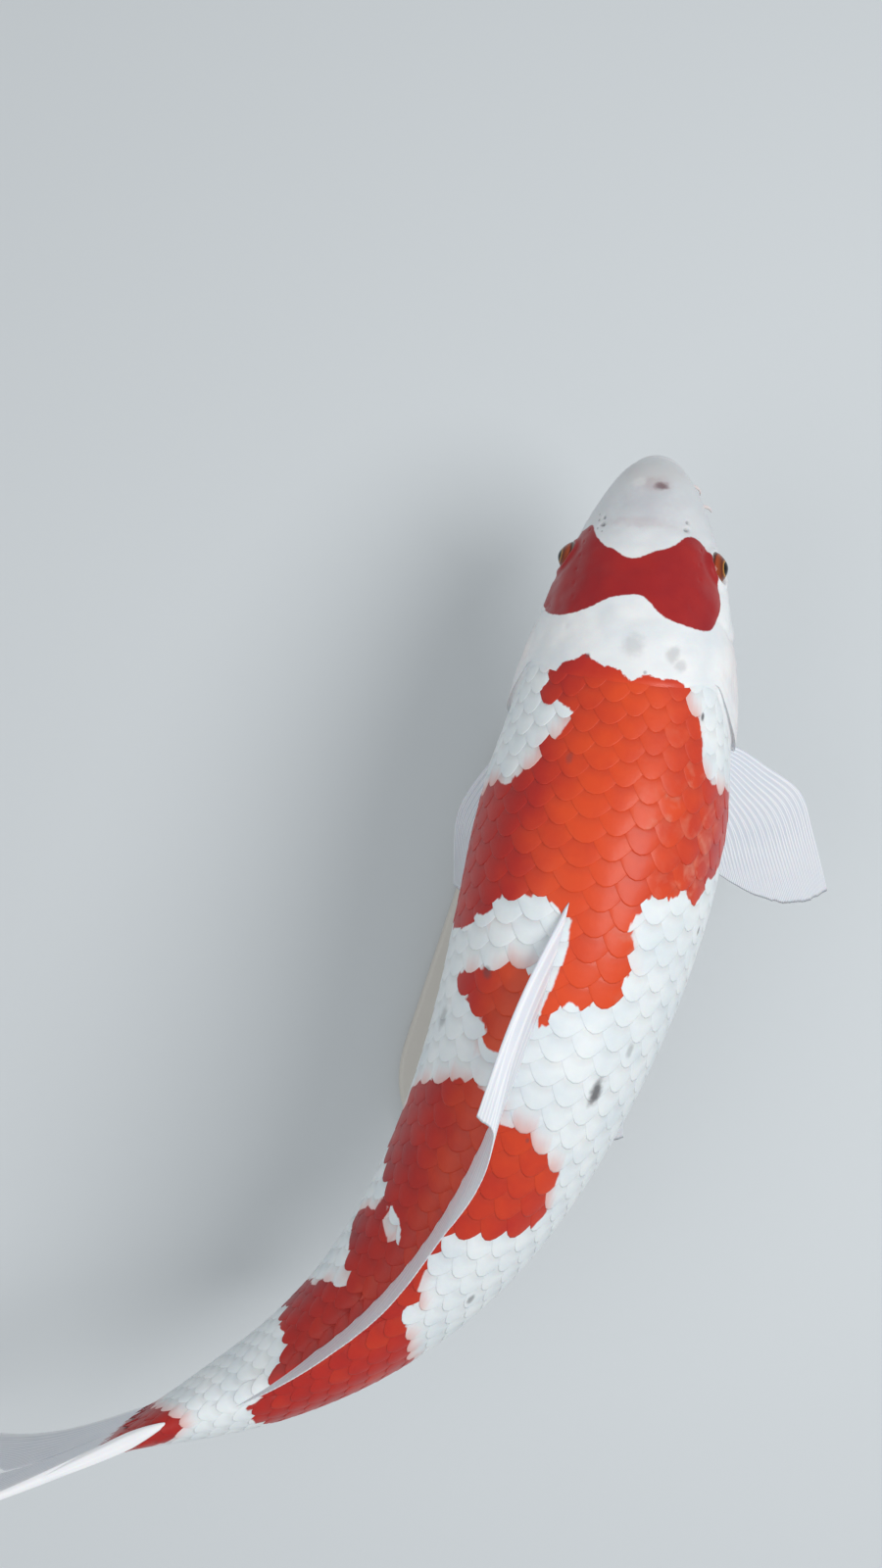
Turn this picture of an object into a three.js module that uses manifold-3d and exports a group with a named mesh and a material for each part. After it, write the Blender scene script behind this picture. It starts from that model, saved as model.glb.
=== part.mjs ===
// Koi carp: a life-size, still display model of a mature red-and-white koi on a plain stand.
// Millimetres, +Z up. The fish swims towards -Y, its tail bends towards +X, so its left side is +X.
// The origin is the middle of the underside of the stand's base.
//
// The fish is shaped in straight body coordinates and then bent: x runs from the snout (0) along
// the spine to the tail, y goes out to the fish's right, and z goes up from the spine.

import * as THREE from 'three';
import Module from 'manifold-3d';
import { mergeVertices } from 'three/addons/utils/BufferGeometryUtils.js';

// Driving dimensions
const BODY = 620; // snout to the end of the tail stalk, along the spine
const FIN_REACH = 130; // from the end of the tail stalk to the tips of the tail fin
const AXIS_HEIGHT = 174; // of the spine above the floor
const BANK = THREE.MathUtils.degToRad(12); // the fish leans over to its left
const GAP = 0.3; // clearance between neighbouring pieces
const OVER_BASE = { x: 40, y: 276 }; // from the snout to the middle of the stand's base, seen from above

// Where the body is parted, as shares of its length
const HEAD_END = 0.212;
const SHOULDER_END = 0.42;
const MIDDLE_END = 0.62;
const STALK_START = 0.8;

// The way the spine turns from straight towards -Y, in degrees, at shares of the body's length
const BEND = [
  [0, 4.2], [0.1, 6.8], [0.207, 8.8], [0.344, 12.7], [0.482, 19.1], [0.62, 29],
  [0.757, 45.2], [0.86, 59.3], [0.93, 67], [1, 71], [1.08, 74], [1.25, 84],
];

// The body's cross-sections: where along it, half width, height of the widest level, back, belly
const SECTIONS = [
  [0, 0, -16, -16, -16],
  [0.012, 16, -16, 2, -32],
  [0.034, 25, -13, 15, -41],
  [0.068, 34.5, -8, 29.5, -48.5],
  [0.103, 43, -3, 41, -53.5],
  [0.14, 49, 0, 51, -59],
  [0.18, 54, 4, 61.5, -65.5],
  [0.24, 60, 7, 73, -73.5],
  [0.3, 63.5, 8, 82, -80],
  [0.35, 64.5, 8, 86.5, -84],
  [0.42, 62.5, 7, 88, -86],
  [0.5, 58, 6, 84.5, -84],
  [0.6, 51.5, 5, 74, -75],
  [0.7, 43.5, 4, 60, -61],
  [0.78, 35, 3, 49, -48],
  [0.86, 26, 2, 40, -37],
  [0.93, 18, 1, 36, -33],
  [1, 7.5, 1, 38, -36],
];
const BACK_ROUNDNESS = 2.15; // superellipse exponents of a cross-section, 2 for a plain ellipse
const BELLY_ROUNDNESS = 2.2;
const BODY_SIDES = 28;
const BODY_RINGS = 38;
const RING_CROWDING = 1.6; // more than 1 crowds the rings towards the snout

const WHITE = 0xe6ebec;
const RED = 0xde482c;
const FIN_WHITE = 0xdfe3ea;

const wasm = await Module();
wasm.setup();

// --- Curves through the numbers above ---

// A smooth curve through hand-set values that never overshoots them (monotone cubic).
function smoothCurve(places, values) {
  const last = places.length - 1;
  const slopes = places.slice(1).map((p, i) => (values[i + 1] - values[i]) / (p - places[i]));
  const tangents = places.map((_, i) => {
    if (i === 0) return slopes[0];
    if (i === last) return slopes[last - 1];
    const product = slopes[i - 1] * slopes[i];
    return product <= 0 ? 0 : (2 * product) / (slopes[i - 1] + slopes[i]);
  });
  return (at) => {
    const x = Math.min(Math.max(at, places[0]), places[last]);
    let i = 0;
    while (i < last - 1 && x > places[i + 1]) i += 1;
    const span = places[i + 1] - places[i];
    const t = (x - places[i]) / span;
    const rise = t * t * (3 - 2 * t);
    return values[i] * (1 - rise) + values[i + 1] * rise
      + span * t * (1 - t) * ((1 - t) * tangents[i] - t * tangents[i + 1]);
  };
}

const columns = (table, column) => table.map((row) => row[column]);
const heading = smoothCurve(columns(BEND, 0), columns(BEND, 1).map(THREE.MathUtils.degToRad));

// The stations are spread by the square root of their place, which rounds the snout.
const rooted = columns(SECTIONS, 0).map(Math.sqrt);
const profiles = [1, 2, 3, 4].map((column) => smoothCurve(rooted, columns(SECTIONS, column)));
const profileAt = (x) => profiles.map((curve) => curve(Math.sqrt(Math.max(x / BODY, 0))));

// The spine's place every millimetre, found by following its heading from the snout.
const SPINE_STEP = 1;
const spine = [new THREE.Vector2(0, 0)];
for (let x = 0; x < BODY * 1.25; x += SPINE_STEP) {
  const turn = heading((x + SPINE_STEP / 2) / BODY);
  const step = new THREE.Vector2(Math.sin(turn), Math.cos(turn)).multiplyScalar(SPINE_STEP);
  spine.push(spine[spine.length - 1].clone().add(step));
}

function spineAt(x) {
  const turn = heading(x / BODY);
  if (x < 0) return { x: x * Math.sin(turn), y: x * Math.cos(turn), turn };
  const i = Math.min(Math.floor(x / SPINE_STEP), spine.length - 2);
  const point = spine[i].clone().lerp(spine[i + 1], x / SPINE_STEP - i);
  return { x: point.x, y: point.y, turn };
}

// Straight body coordinates to the bent and banked fish on its stand.
function bend(point) {
  const at = spineAt(point.x);
  const right = point.y * Math.cos(BANK) - point.z * Math.sin(BANK);
  const up = point.y * Math.sin(BANK) + point.z * Math.cos(BANK);
  return new THREE.Vector3(
    at.x - OVER_BASE.x - right * Math.cos(at.turn),
    at.y - OVER_BASE.y + right * Math.sin(at.turn),
    up + AXIS_HEIGHT,
  );
}

// --- Solids ---

function solidOf(geometry) {
  const bare = geometry.clone();
  bare.deleteAttribute('normal');
  bare.deleteAttribute('uv');
  const merged = mergeVertices(bare, 1e-4);
  return new wasm.Manifold(new wasm.Mesh({
    numProp: 3,
    vertProperties: new Float32Array(merged.attributes.position.array),
    triVerts: new Uint32Array(merged.index.array),
  }));
}

function geometryOf(solid) {
  const mesh = solid.getMesh();
  const geometry = new THREE.BufferGeometry();
  geometry.setAttribute('position', new THREE.BufferAttribute(new Float32Array(mesh.vertProperties), 3));
  geometry.setIndex(new THREE.BufferAttribute(new Uint32Array(mesh.triVerts), 1));
  return geometry;
}

function bentGeometry(solid) {
  const geometry = geometryOf(solid);
  const position = geometry.attributes.position;
  const point = new THREE.Vector3();
  for (let i = 0; i < position.count; i += 1) {
    position.setXYZ(i, ...bend(point.fromBufferAttribute(position, i)));
  }
  return geometry;
}

// A closed skin over rings of points, each ring turning from +y to +z as seen from the tail. Its
// ends are closed by fans round their middles or, on a thin sheet, by strips from face to face.
function loft(rings, thin = false) {
  const points = rings.flat();
  const count = rings[0].length;
  const triangles = [];
  for (let r = 0; r < rings.length - 1; r += 1) {
    for (let i = 0; i < count; i += 1) {
      const j = (i + 1) % count;
      const [a, b] = [r * count + i, r * count + j];
      triangles.push(a, b, a + count, b, b + count, a + count);
    }
  }
  for (const [r, flip] of [[0, true], [rings.length - 1, false]]) {
    const close = (a, b, c) => triangles.push(...(flip ? [b, a, c] : [a, b, c]));
    const first = r * count;
    if (thin) {
      for (let i = 0; i < count / 2 - 1; i += 1) {
        const [a, b, c, d] = [first + i, first + i + 1, first + count - 2 - i, first + count - 1 - i];
        close(a, b, c);
        close(a, c, d);
      }
    } else {
      points.push(rings[r].reduce((sum, p) => sum.add(p), new THREE.Vector3()).divideScalar(count));
      for (let i = 0; i < count; i += 1) close(first + i, first + ((i + 1) % count), points.length - 1);
    }
  }
  const geometry = new THREE.BufferGeometry();
  geometry.setAttribute('position', new THREE.Float32BufferAttribute(points.flatMap((p) => [...p]), 3));
  geometry.setIndex(triangles);
  return solidOf(geometry);
}

// A tapering round piece along a curve; it gives back straight body coordinates.
function taper(points, radiusAt, steps, sides) {
  const curve = new THREE.CatmullRomCurve3(points);
  const frames = curve.computeFrenetFrames(steps);
  return loft(Array.from({ length: steps + 1 }, (_, step) => {
    const centre = curve.getPointAt(step / steps);
    return Array.from({ length: sides }, (_unused, i) => {
      const angle = (2 * Math.PI * i) / sides;
      return centre.clone()
        .addScaledVector(frames.normals[step], Math.cos(angle) * radiusAt(step / steps))
        .addScaledVector(frames.binormals[step], Math.sin(angle) * radiusAt(step / steps));
    });
  }));
}

// A fin: a thin sheet from root to tip, its middle surface given by surface(across, out) and its
// full thickness by thickness(across, out), both for 0 to 1. Across, then outwards, then the side
// that faces right-handed from them is the fin's front.
function finSheet(surface, thickness, across, out) {
  const at = (u, v) => surface(Math.min(Math.max(u, 0), 1), Math.min(Math.max(v, 0), 1));
  const rings = [];
  for (let j = 0; j <= out; j += 1) {
    const front = [];
    const back = [];
    for (let i = 0; i <= across; i += 1) {
      const [u, v] = [i / across, j / out];
      const along = at(u + 0.02, v).sub(at(u - 0.02, v));
      const outward = at(u, v + 0.02).sub(at(u, v - 0.02));
      const normal = along.cross(outward).normalize();
      front.push(at(u, v).addScaledVector(normal, thickness(u, v) / 2));
      back.unshift(at(u, v).addScaledVector(normal, -thickness(u, v) / 2));
    }
    rings.push([...front, ...back]);
  }
  return loft(rings, true);
}

const between = (from, to) => {
  const box = new THREE.BoxGeometry(to - from - GAP, 400, 400);
  return solidOf(box.translate((from + to) / 2, 0, 0));
};
const mirrored = (points) => points.map((p) => new THREE.Vector3(p.x, -p.y, p.z));
const vector = (x, y, z) => new THREE.Vector3(x, y, z);

const group = new THREE.Group();
function add(name, geometry, colour, roughness = 0.45, metalness = 0) {
  const flat = geometry.index ? geometry.toNonIndexed() : geometry;
  flat.computeVertexNormals();
  const material = new THREE.MeshStandardMaterial({ color: colour, roughness, metalness });
  const mesh = new THREE.Mesh(flat, material);
  mesh.name = name;
  group.add(mesh);
}
const addFlesh = (name, solid, colour) => add(name, bentGeometry(solid), colour);

// --- The whole body, before it is parted ---

function bodyRing(x, grow) {
  const [wide, level, back, belly] = profileAt(x);
  return Array.from({ length: BODY_SIDES }, (_, i) => {
    const angle = (2 * Math.PI * i) / BODY_SIDES;
    const [side, lift] = [Math.cos(angle), Math.sin(angle)];
    const power = 2 / (lift >= 0 ? BACK_ROUNDNESS : BELLY_ROUNDNESS);
    const reach = lift >= 0 ? back + grow - level : level - belly + grow;
    return vector(
      x,
      Math.sign(side) * Math.abs(side) ** power * (wide + grow),
      level + Math.sign(lift) * Math.abs(lift) ** power * reach,
    );
  });
}

// A stretch of the body, grown or shrunk all round, with a small ring to round off the snout.
function bodySolid(from, to, grow = 0) {
  const rings = [];
  for (let i = 1; i <= BODY_RINGS; i += 1) {
    const x = BODY * (i / BODY_RINGS) ** RING_CROWDING;
    if (x >= from && x <= to) rings.push(bodyRing(x, grow));
  }
  if (from === 0) {
    const tip = vector(-grow, 0, SECTIONS[0][2]);
    rings.unshift(rings[0].map((p) => p.clone().setX(-grow).lerp(tip, 0.7)));
  }
  return loft(rings);
}

const body = bodySolid(0, BODY);
const bodyAndGap = bodySolid(0, BODY, GAP);

// --- Head: gill covers, jaw, lips, eyes ---

// The gill cover is the skin of the body within an egg-shaped outline, seen from the side.
const COVER = { x: 117, z: -6, front: 29, rear: 32, high: 47, depth: 6, points: 22 };
const COVER_REACH = { from: 5, to: 95 }; // distances from the middle plane that hold the whole cover
function coverPrism(side, grow) {
  const points = Array.from({ length: COVER.points }, (_, i) => {
    const angle = (2 * Math.PI * i) / COVER.points;
    const reach = (Math.cos(angle) > 0 ? COVER.rear : COVER.front) + grow;
    const high = COVER.high + grow;
    return new THREE.Vector2(COVER.x + reach * Math.cos(angle), COVER.z + high * Math.sin(angle));
  });
  const depth = COVER_REACH.to - COVER_REACH.from;
  const prism = new THREE.ExtrudeGeometry(new THREE.Shape(points), { depth, bevelEnabled: false });
  prism.rotateX(Math.PI / 2);
  return solidOf(prism.translate(0, side > 0 ? COVER_REACH.to : -COVER_REACH.from, 0));
}
const UNDER_COVER = { from: 0.08 * BODY, to: 0.32 * BODY }; // a stretch of the body that holds the covers
const innerHead = bodySolid(UNDER_COVER.from, UNDER_COVER.to, -COVER.depth);
const innerHeadAndGap = bodySolid(UNDER_COVER.from, UNDER_COVER.to, -COVER.depth - GAP);
const coverSpace = [1, -1].map((side) => coverPrism(side, GAP).subtract(innerHeadAndGap));

const MOUTH = { front: 2, corner: 25, halfWidth: 17, z: -20, drop: 9 };
function lipPath(lower) {
  return Array.from({ length: 9 }, (_, i) => {
    const angle = ((i / 8) * 2 - 1) * (Math.PI / 2);
    const back = 1 - Math.cos(angle);
    return vector(
      MOUTH.front + lower * 0.4 + back * (MOUTH.corner - MOUTH.front),
      MOUTH.halfWidth * Math.sin(angle),
      MOUTH.z - lower - back * MOUTH.drop,
    );
  });
}
const LIP = { upper: 4.8, lower: 4.4, step: 8.5 }; // their radii, and how far the lower one lies below
const lipRadius = (thick, grow) => (t) => thick * (0.62 + 0.38 * Math.sin(Math.PI * t)) + grow;
const lip = (lower, thick, grow) => taper(lipPath(lower), lipRadius(thick, grow), 10, 8);
const upperLip = lip(0, LIP.upper, 0);
const upperLipAndGap = lip(0, LIP.upper, GAP);
const lowerLip = lip(LIP.step, LIP.lower, 0);
const lowerLipAndGap = lip(LIP.step, LIP.lower, GAP);

function jawPrism(grow) {
  const outline = [[-8, -23], [14, -26], [30, -32], [50, -42], [56, -75], [-8, -75]];
  const shape = new THREE.Shape(outline.map(([x, z]) => new THREE.Vector2(x + grow, z + grow)));
  const prism = new THREE.ExtrudeGeometry(shape, { depth: 120, bevelEnabled: false });
  prism.rotateX(Math.PI / 2);
  return solidOf(prism.translate(0, 60, 0));
}
const lowerJaw = body.intersect(jawPrism(0)).add(lowerLip).subtract(upperLipAndGap);

const EYE = { x: 62, y: 34.5, z: 12, radius: 9.2 };
const eyeBall = (side, grow) => {
  const ball = new THREE.SphereGeometry(EYE.radius + grow, 14, 8);
  ball.scale(1, 0.86, 1);
  return solidOf(ball.translate(EYE.x, side * EYE.y, EYE.z));
};

let head = body.intersect(between(-50, HEAD_END * BODY))
  .subtract(jawPrism(GAP)).subtract(lowerLipAndGap).subtract(upperLipAndGap);
let shoulder = body.intersect(between(HEAD_END * BODY, SHOULDER_END * BODY));
for (const space of coverSpace) {
  head = head.subtract(space);
  shoulder = shoulder.subtract(space);
}
head = head.subtract(eyeBall(1, GAP)).subtract(eyeBall(-1, GAP));

addFlesh('head', head, WHITE);
addFlesh('lower_jaw', lowerJaw, WHITE);
addFlesh('upper_lip', upperLip, WHITE);
for (const [name, side] of [['right', 1], ['left', -1]]) {
  addFlesh(`gill_cover_${name}`, body.intersect(coverPrism(side, 0)).subtract(innerHead), WHITE);
  addFlesh(`eye_${name}`, eyeBall(side, 0), 0x2a2320);
}

// The feelers: a short pair on the upper lip and a longer pair at the corners of the mouth.
const BARBELS = {
  front: { root: [13, 17, -19], tip: [15, 24, -33], radius: 1.1 },
  corner: { root: [22, 21, -28], tip: [21, 30.5, -46], radius: 1.4 },
};
for (const [place, { root, tip, radius }] of Object.entries(BARBELS)) {
  const middle = root.map((value, i) => (value + tip[i]) / 2);
  const path = [vector(...root), vector(middle[0] - 1, middle[1] + 2.2, middle[2] + 1), vector(...tip)];
  const nearby = bodyAndGap.add(upperLipAndGap).add(lowerLipAndGap);
  for (const [name, points] of [['right', path], ['left', mirrored(path)]]) {
    const barbel = taper(points, (t) => radius * (1 - 0.55 * t), 5, 5).subtract(nearby);
    addFlesh(`barbel_${place}_${name}`, barbel, WHITE);
  }
}

// --- Trunk and tail stalk ---

addFlesh('trunk_front', shoulder, RED);
addFlesh('trunk_middle', body.intersect(between(SHOULDER_END * BODY, MIDDLE_END * BODY)), WHITE);
addFlesh('trunk_rear', body.intersect(between(MIDDLE_END * BODY, STALK_START * BODY)), RED);
addFlesh('tail_stalk', body.intersect(between(STALK_START * BODY, BODY + 5)), WHITE);

// --- Fins ---

const ridge = (x) => profileAt(x)[2];

// Dorsal fin: half folded, its long first rays laid back to the left and the rest to the right.
// Its root follows the ridge of the back.
const DORSAL = { from: 240, to: 515, clear: 0.4, root: 3.2, edge: 0.9 };
const dorsalLength = smoothCurve([0, 0.1, 0.3, 0.6, 1], [108, 88, 78, 62, 42]);
const dorsalRake = smoothCurve([0, 0.15, 0.5, 1], [72, 67, 68, 78]);
const dorsalLean = smoothCurve([0, 0.1, 0.2, 0.38, 0.55, 0.75, 1], [-5, 6, 9, 5, 4.5, 2, 1]);
const dorsalBow = smoothCurve([0, 0.15, 0.35, 1], [5, 3.2, 0, 0]);
function dorsalSurface(across, v) {
  const u = 1 - across;
  const x = DORSAL.from + u * (DORSAL.to - DORSAL.from);
  const rake = THREE.MathUtils.degToRad(dorsalRake(u));
  const reach = v * dorsalLength(u);
  const height = ridge(x) + DORSAL.clear + reach * Math.cos(rake);
  const side = dorsalLean(u) * v - dorsalBow(u) * Math.sin(Math.PI * v);
  return vector(x + reach * Math.sin(rake), side, height);
}
const finThickness = (root, edge) => (u, v) => root + (edge - root) * v ** 0.6;
const dorsalThickness = finThickness(DORSAL.root, DORSAL.edge);
const dorsalSheet = finSheet(dorsalSurface, dorsalThickness, 22, 4);
addFlesh('dorsal_fin', dorsalSheet.subtract(bodyAndGap), FIN_WHITE);

// A fan fin between a leading and a trailing edge curve. Its free edge bulges by `round`.
function fanSurface(leading, trailing, round) {
  const curveOf = (points) => new THREE.CatmullRomCurve3(points.map((p) => vector(...p)));
  const edges = [leading, trailing].map(curveOf);
  return (u, v) => {
    const [a, b] = edges.map((edge) => edge.getPoint(v));
    const outwards = edges[0].getPoint(1).sub(edges[0].getPoint(0))
      .lerp(edges[1].getPoint(1).sub(edges[1].getPoint(0)), u).normalize();
    return a.lerp(b, u).addScaledVector(outwards, round * v * v * Math.sin(Math.PI * u));
  };
}

const PECTORALS = {
  right: {
    leading: [
      [147, 38, -47], [144, 58, -52], [152, 79, -58], [162, 99, -64], [183, 111, -68], [208, 124, -71],
    ],
    trailing: [[160, 36, -55], [174, 44, -60], [188, 50, -64], [201, 56, -67], [211, 61, -69]],
  },
  left: {
    leading: [[146, -38, -47], [151, -58, -51], [175, -75, -55], [211, -89, -59], [256, -82, -63]],
    trailing: [[160, -34, -56], [176, -38, -62], [194, -42, -66], [213, -45, -69], [231, -48, -71]],
  },
};
for (const [name, { leading, trailing }] of Object.entries(PECTORALS)) {
  const order = name === 'right' ? [trailing, leading] : [leading, trailing];
  const sheet = finSheet(fanSurface(...order, 14), finThickness(5, 0.9), 9, 5);
  addFlesh(`pectoral_fin_${name}`, sheet.subtract(bodyAndGap), FIN_WHITE);
}

const PELVIC = {
  leading: [[300, 12, -78], [312, 27, -91], [335, 45, -101], [361, 60, -108]],
  trailing: [[316, 8, -80], [330, 14, -90], [345, 20, -97], [360, 26, -102]],
};
for (const [name, side] of [['right', 1], ['left', -1]]) {
  const onSide = (points) => points.map(([x, y, z]) => [x, side * y, z]);
  const edges = [PELVIC.trailing, PELVIC.leading].map(onSide);
  if (side < 0) edges.reverse();
  const sheet = finSheet(fanSurface(...edges, 9), finThickness(4, 0.9), 7, 4);
  addFlesh(`pelvic_fin_${name}`, sheet.subtract(bodyAndGap), FIN_WHITE);
}

const ANAL = {
  leading: [[476, 0, -47], [489, 0, -68], [506, 0, -87], [526, 1, -101]],
  trailing: [[520, 0, -37], [530, 0, -48], [540, 1, -58], [549, 2, -66]],
};
addFlesh('anal_fin', finSheet(fanSurface(ANAL.leading, ANAL.trailing, 7), finThickness(4.2, 0.9), 7, 4)
  .subtract(bodyAndGap), FIN_WHITE);

// Tail fin: two lobes that part at the fork's middle ray.
const TAIL = { root: 34, fork: 74, spreadTip: 28, spreadMiddle: 1.5, thick: 11, edge: 0.9 };
const rayLength = smoothCurve([0, 0.3, 0.6, 0.85, 1], [TAIL.fork, 90, 114, FIN_REACH - 3, FIN_REACH - 9]);
const tailSway = (x) => 3 * Math.sin((x - BODY) / 34);
function lobeSurface(side) {
  return (across, v) => {
    const u = side > 0 ? across : 1 - across;
    const spread = TAIL.spreadMiddle + (TAIL.spreadTip - TAIL.spreadMiddle) * u;
    const angle = THREE.MathUtils.degToRad(spread);
    const reach = v * rayLength(u) / Math.cos(angle) ** 0.5;
    const x = BODY + GAP + 4 * (1 - u * u) + reach * Math.cos(angle);
    const z = side * (GAP / 2 + u * TAIL.root + reach * Math.sin(angle) * (0.75 + 0.25 * v));
    return vector(x, tailSway(x) * v, z + 1);
  };
}
const lobeThickness = (u, v) => TAIL.edge + (TAIL.thick - TAIL.edge) * (1 - v) ** 4;
// The short stout rays at the top of the tail's root make a pad that lies on the stalk.
const TOP_PAD = {
  path: [[597, -1.5, 35.3], [609, -1, 36.3], [621, -0.2, 36.6], [643, 0.6, 44.2], [668, 1.6, 55]],
  radius: smoothCurve([0, 0.25, 0.5, 0.75, 1], [1.6, 2.8, 3.2, 2.5, 1]),
};
const topPad = taper(TOP_PAD.path.map((point) => vector(...point)), TOP_PAD.radius, 8, 12);
for (const [name, side] of [['upper', 1], ['lower', -1]]) {
  const web = finSheet(lobeSurface(side), lobeThickness, 9, 7);
  const lobe = side > 0 ? web.add(topPad) : web;
  addFlesh(`caudal_${name}_lobe`, lobe.subtract(bodyAndGap), FIN_WHITE);
}

// --- Display stand: a low rounded base and two short rods ---

const BASE = { length: 330, width: 140, height: 14, bevel: 3, rods: [0.29, 0.62] };
const ROD = { radius: 4.5, foot: 10, footHeight: 5 };

const [front, rear] = BASE.rods.map((share) => bend(vector(share * BODY, 0, 0)));

function standBase() {
  const round = BASE.width / 2 - BASE.bevel;
  const straight = BASE.length / 2 - BASE.bevel - round;
  const shape = new THREE.Shape();
  shape.absarc(straight, 0, round, -Math.PI / 2, Math.PI / 2, false);
  shape.absarc(-straight, 0, round, Math.PI / 2, (3 * Math.PI) / 2, false);
  const plate = new THREE.ExtrudeGeometry(shape, {
    depth: BASE.height - 2 * BASE.bevel,
    bevelThickness: BASE.bevel,
    bevelSize: BASE.bevel,
    bevelSegments: 2,
    curveSegments: 9,
  });
  return plate.translate(0, 0, BASE.bevel).rotateZ(Math.atan2(rear.y - front.y, rear.x - front.x));
}
add('stand_base', standBase(), 0xd9d6cf, 0.4);

const fishAndGap = solidOf(bentGeometry(bodyAndGap));
for (const [name, under] of [['front', front], ['rear', rear]]) {
  const profile = [
    [0, 0], [ROD.foot, 0], [ROD.foot, ROD.footHeight - 1.5], [ROD.foot - 1.5, ROD.footHeight],
    [ROD.radius, ROD.footHeight], [ROD.radius, AXIS_HEIGHT - BASE.height], [0, AXIS_HEIGHT - BASE.height],
  ];
  const rod = new THREE.LatheGeometry(profile.map(([r, z]) => new THREE.Vector2(r, z)), 16);
  rod.rotateX(Math.PI / 2);
  rod.translate(under.x, under.y, BASE.height);
  add(`stand_rod_${name}`, geometryOf(solidOf(rod).subtract(fishAndGap)), 0xb9bcc0, 0.3, 1);
}

export default group;
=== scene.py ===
import math
from functools import partial

import bpy
import numpy as np
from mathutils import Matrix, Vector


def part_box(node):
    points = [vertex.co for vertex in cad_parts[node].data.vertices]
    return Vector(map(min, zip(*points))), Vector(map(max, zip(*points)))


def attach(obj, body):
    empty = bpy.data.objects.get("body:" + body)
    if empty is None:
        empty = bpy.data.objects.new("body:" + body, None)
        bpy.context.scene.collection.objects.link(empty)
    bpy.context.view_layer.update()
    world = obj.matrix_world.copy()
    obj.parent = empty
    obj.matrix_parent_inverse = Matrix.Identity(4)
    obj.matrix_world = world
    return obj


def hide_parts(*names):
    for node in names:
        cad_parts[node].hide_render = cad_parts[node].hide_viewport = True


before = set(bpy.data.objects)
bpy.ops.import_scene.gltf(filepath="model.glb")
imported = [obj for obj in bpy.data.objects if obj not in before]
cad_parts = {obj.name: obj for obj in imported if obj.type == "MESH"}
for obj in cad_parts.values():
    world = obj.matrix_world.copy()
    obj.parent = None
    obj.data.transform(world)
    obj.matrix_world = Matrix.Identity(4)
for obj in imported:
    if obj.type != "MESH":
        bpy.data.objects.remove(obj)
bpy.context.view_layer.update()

# --- Studio ---------------------------------------------------------------------------------------
# The camera hangs straight over the model and looks down on it, with the fish's head upwards. A
# large soft box stands on the fish's right, a weaker one on its left, and the floor is pale paint.

CAMERA_AT = (0.0727, -0.1006, 0.890)
FOCAL_SHARE = 1386 / 1600  # focal length as a share of the long side


def fresh(add_operator, **settings):
    """What an add operator makes, with nothing else selected."""
    bpy.ops.object.select_all(action="DESELECT")
    add_operator(**settings)
    return bpy.context.object


camera = fresh(bpy.ops.object.camera_add, location=CAMERA_AT, rotation=(0, 0, math.pi))
camera.name = "camera"
camera.data.sensor_width = 36
camera.data.lens = 36 * FOCAL_SHARE
camera.data.clip_start = 0.02
bpy.context.scene.camera = camera
bpy.context.scene.view_settings.view_transform = "Standard"


def linear(hex_colour):
    """An sRGB hex colour as the linear red, green, blue and alpha that the nodes take."""
    parts = [int(hex_colour[i:i + 2], 16) / 255 for i in (1, 3, 5)]
    return [c / 12.92 if c <= 0.04045 else ((c + 0.055) / 1.055) ** 2.4 for c in parts] + [1]


def set_inputs(node, inputs):
    """Gives a node's sockets their values, or links them to the outputs of other nodes."""
    for socket, value in dict(inputs).items():
        if isinstance(value, bpy.types.NodeSocket):
            node.id_data.links.new(value, node.inputs[socket])
        else:
            node.inputs[socket].default_value = value


def add_node(tree, kind, inputs=(), output=0, **settings):
    """One output of a new node, which has got its own settings and its inputs. Mix blends colours."""
    made = tree.nodes.new("ShaderNode" + kind)
    if kind == "Mix":
        made.data_type = "RGBA"
        output = 2
    for name, value in settings.items():
        setattr(made, name, value)
    set_inputs(made, inputs)
    return made.outputs[output]


def new_material(name):
    """A new material, its shader, and the function that adds nodes to it."""
    material = bpy.data.materials.new(name)
    material.use_nodes = True
    tree = material.node_tree
    return material, tree.nodes["Principled BSDF"], partial(add_node, tree)


FLOOR_WIDTH = 9
floor = fresh(bpy.ops.mesh.primitive_plane_add, size=FLOOR_WIDTH)
floor.name = "floor"

# Matt wall paint, rolled: an even pale grey with hardly any shine.
floor_paint, shader, add = new_material("matt floor paint")
set_inputs(shader, {"Base Color": linear("#D3D8DB"), "Roughness": 0.85})
floor.data.materials.append(floor_paint)

world = bpy.data.worlds.new("studio")
bpy.context.scene.world = world
world.use_nodes = True
add = partial(add_node, world.node_tree)
seen = add("Math", {0: add("LightPath", output="Is Camera Ray"),
                    1: add("LightPath", output="Is Transmission Ray")}, operation="MAXIMUM")
dim = add("Background", {"Color": linear("#F3F6F8"), "Strength": 0.52})
backdrop = add("Background", {"Color": linear("#E4E8EA"), "Strength": 1})
mixed = add("MixShader", {0: seen, 1: dim, 2: backdrop})
set_inputs(world.node_tree.nodes["World Output"], {"Surface": mixed})

FISH_HEIGHT = 0.17  # where the soft boxes aim
SOFT_BOXES = [  # name, place, size, power
    ("key", (-0.75, -0.1, 1.5), 0.9, 13.0),
    ("fill", (0.95, 0.25, 1.35), 1.1, 3.5),
]
for name, place, size, power in SOFT_BOXES:
    turn = math.atan2(place[1], place[0])
    tilt = math.atan2(math.hypot(place[0], place[1]), place[2] - FISH_HEIGHT)
    lamp = fresh(bpy.ops.object.light_add, type="AREA", location=place, rotation=(0, tilt, turn))
    lamp.name = name
    lamp.data.shape = "DISK"
    lamp.data.size = size
    lamp.data.energy = power
    lamp.visible_camera = False

# --- Stand ----------------------------------------------------------------------------------------
# A low oblong plate with round ends, cast in aluminium and spray-painted a warm pale grey. Its rim
# is rounded over. Two brushed steel rods stand in collars on it and run up into the belly.

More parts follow.
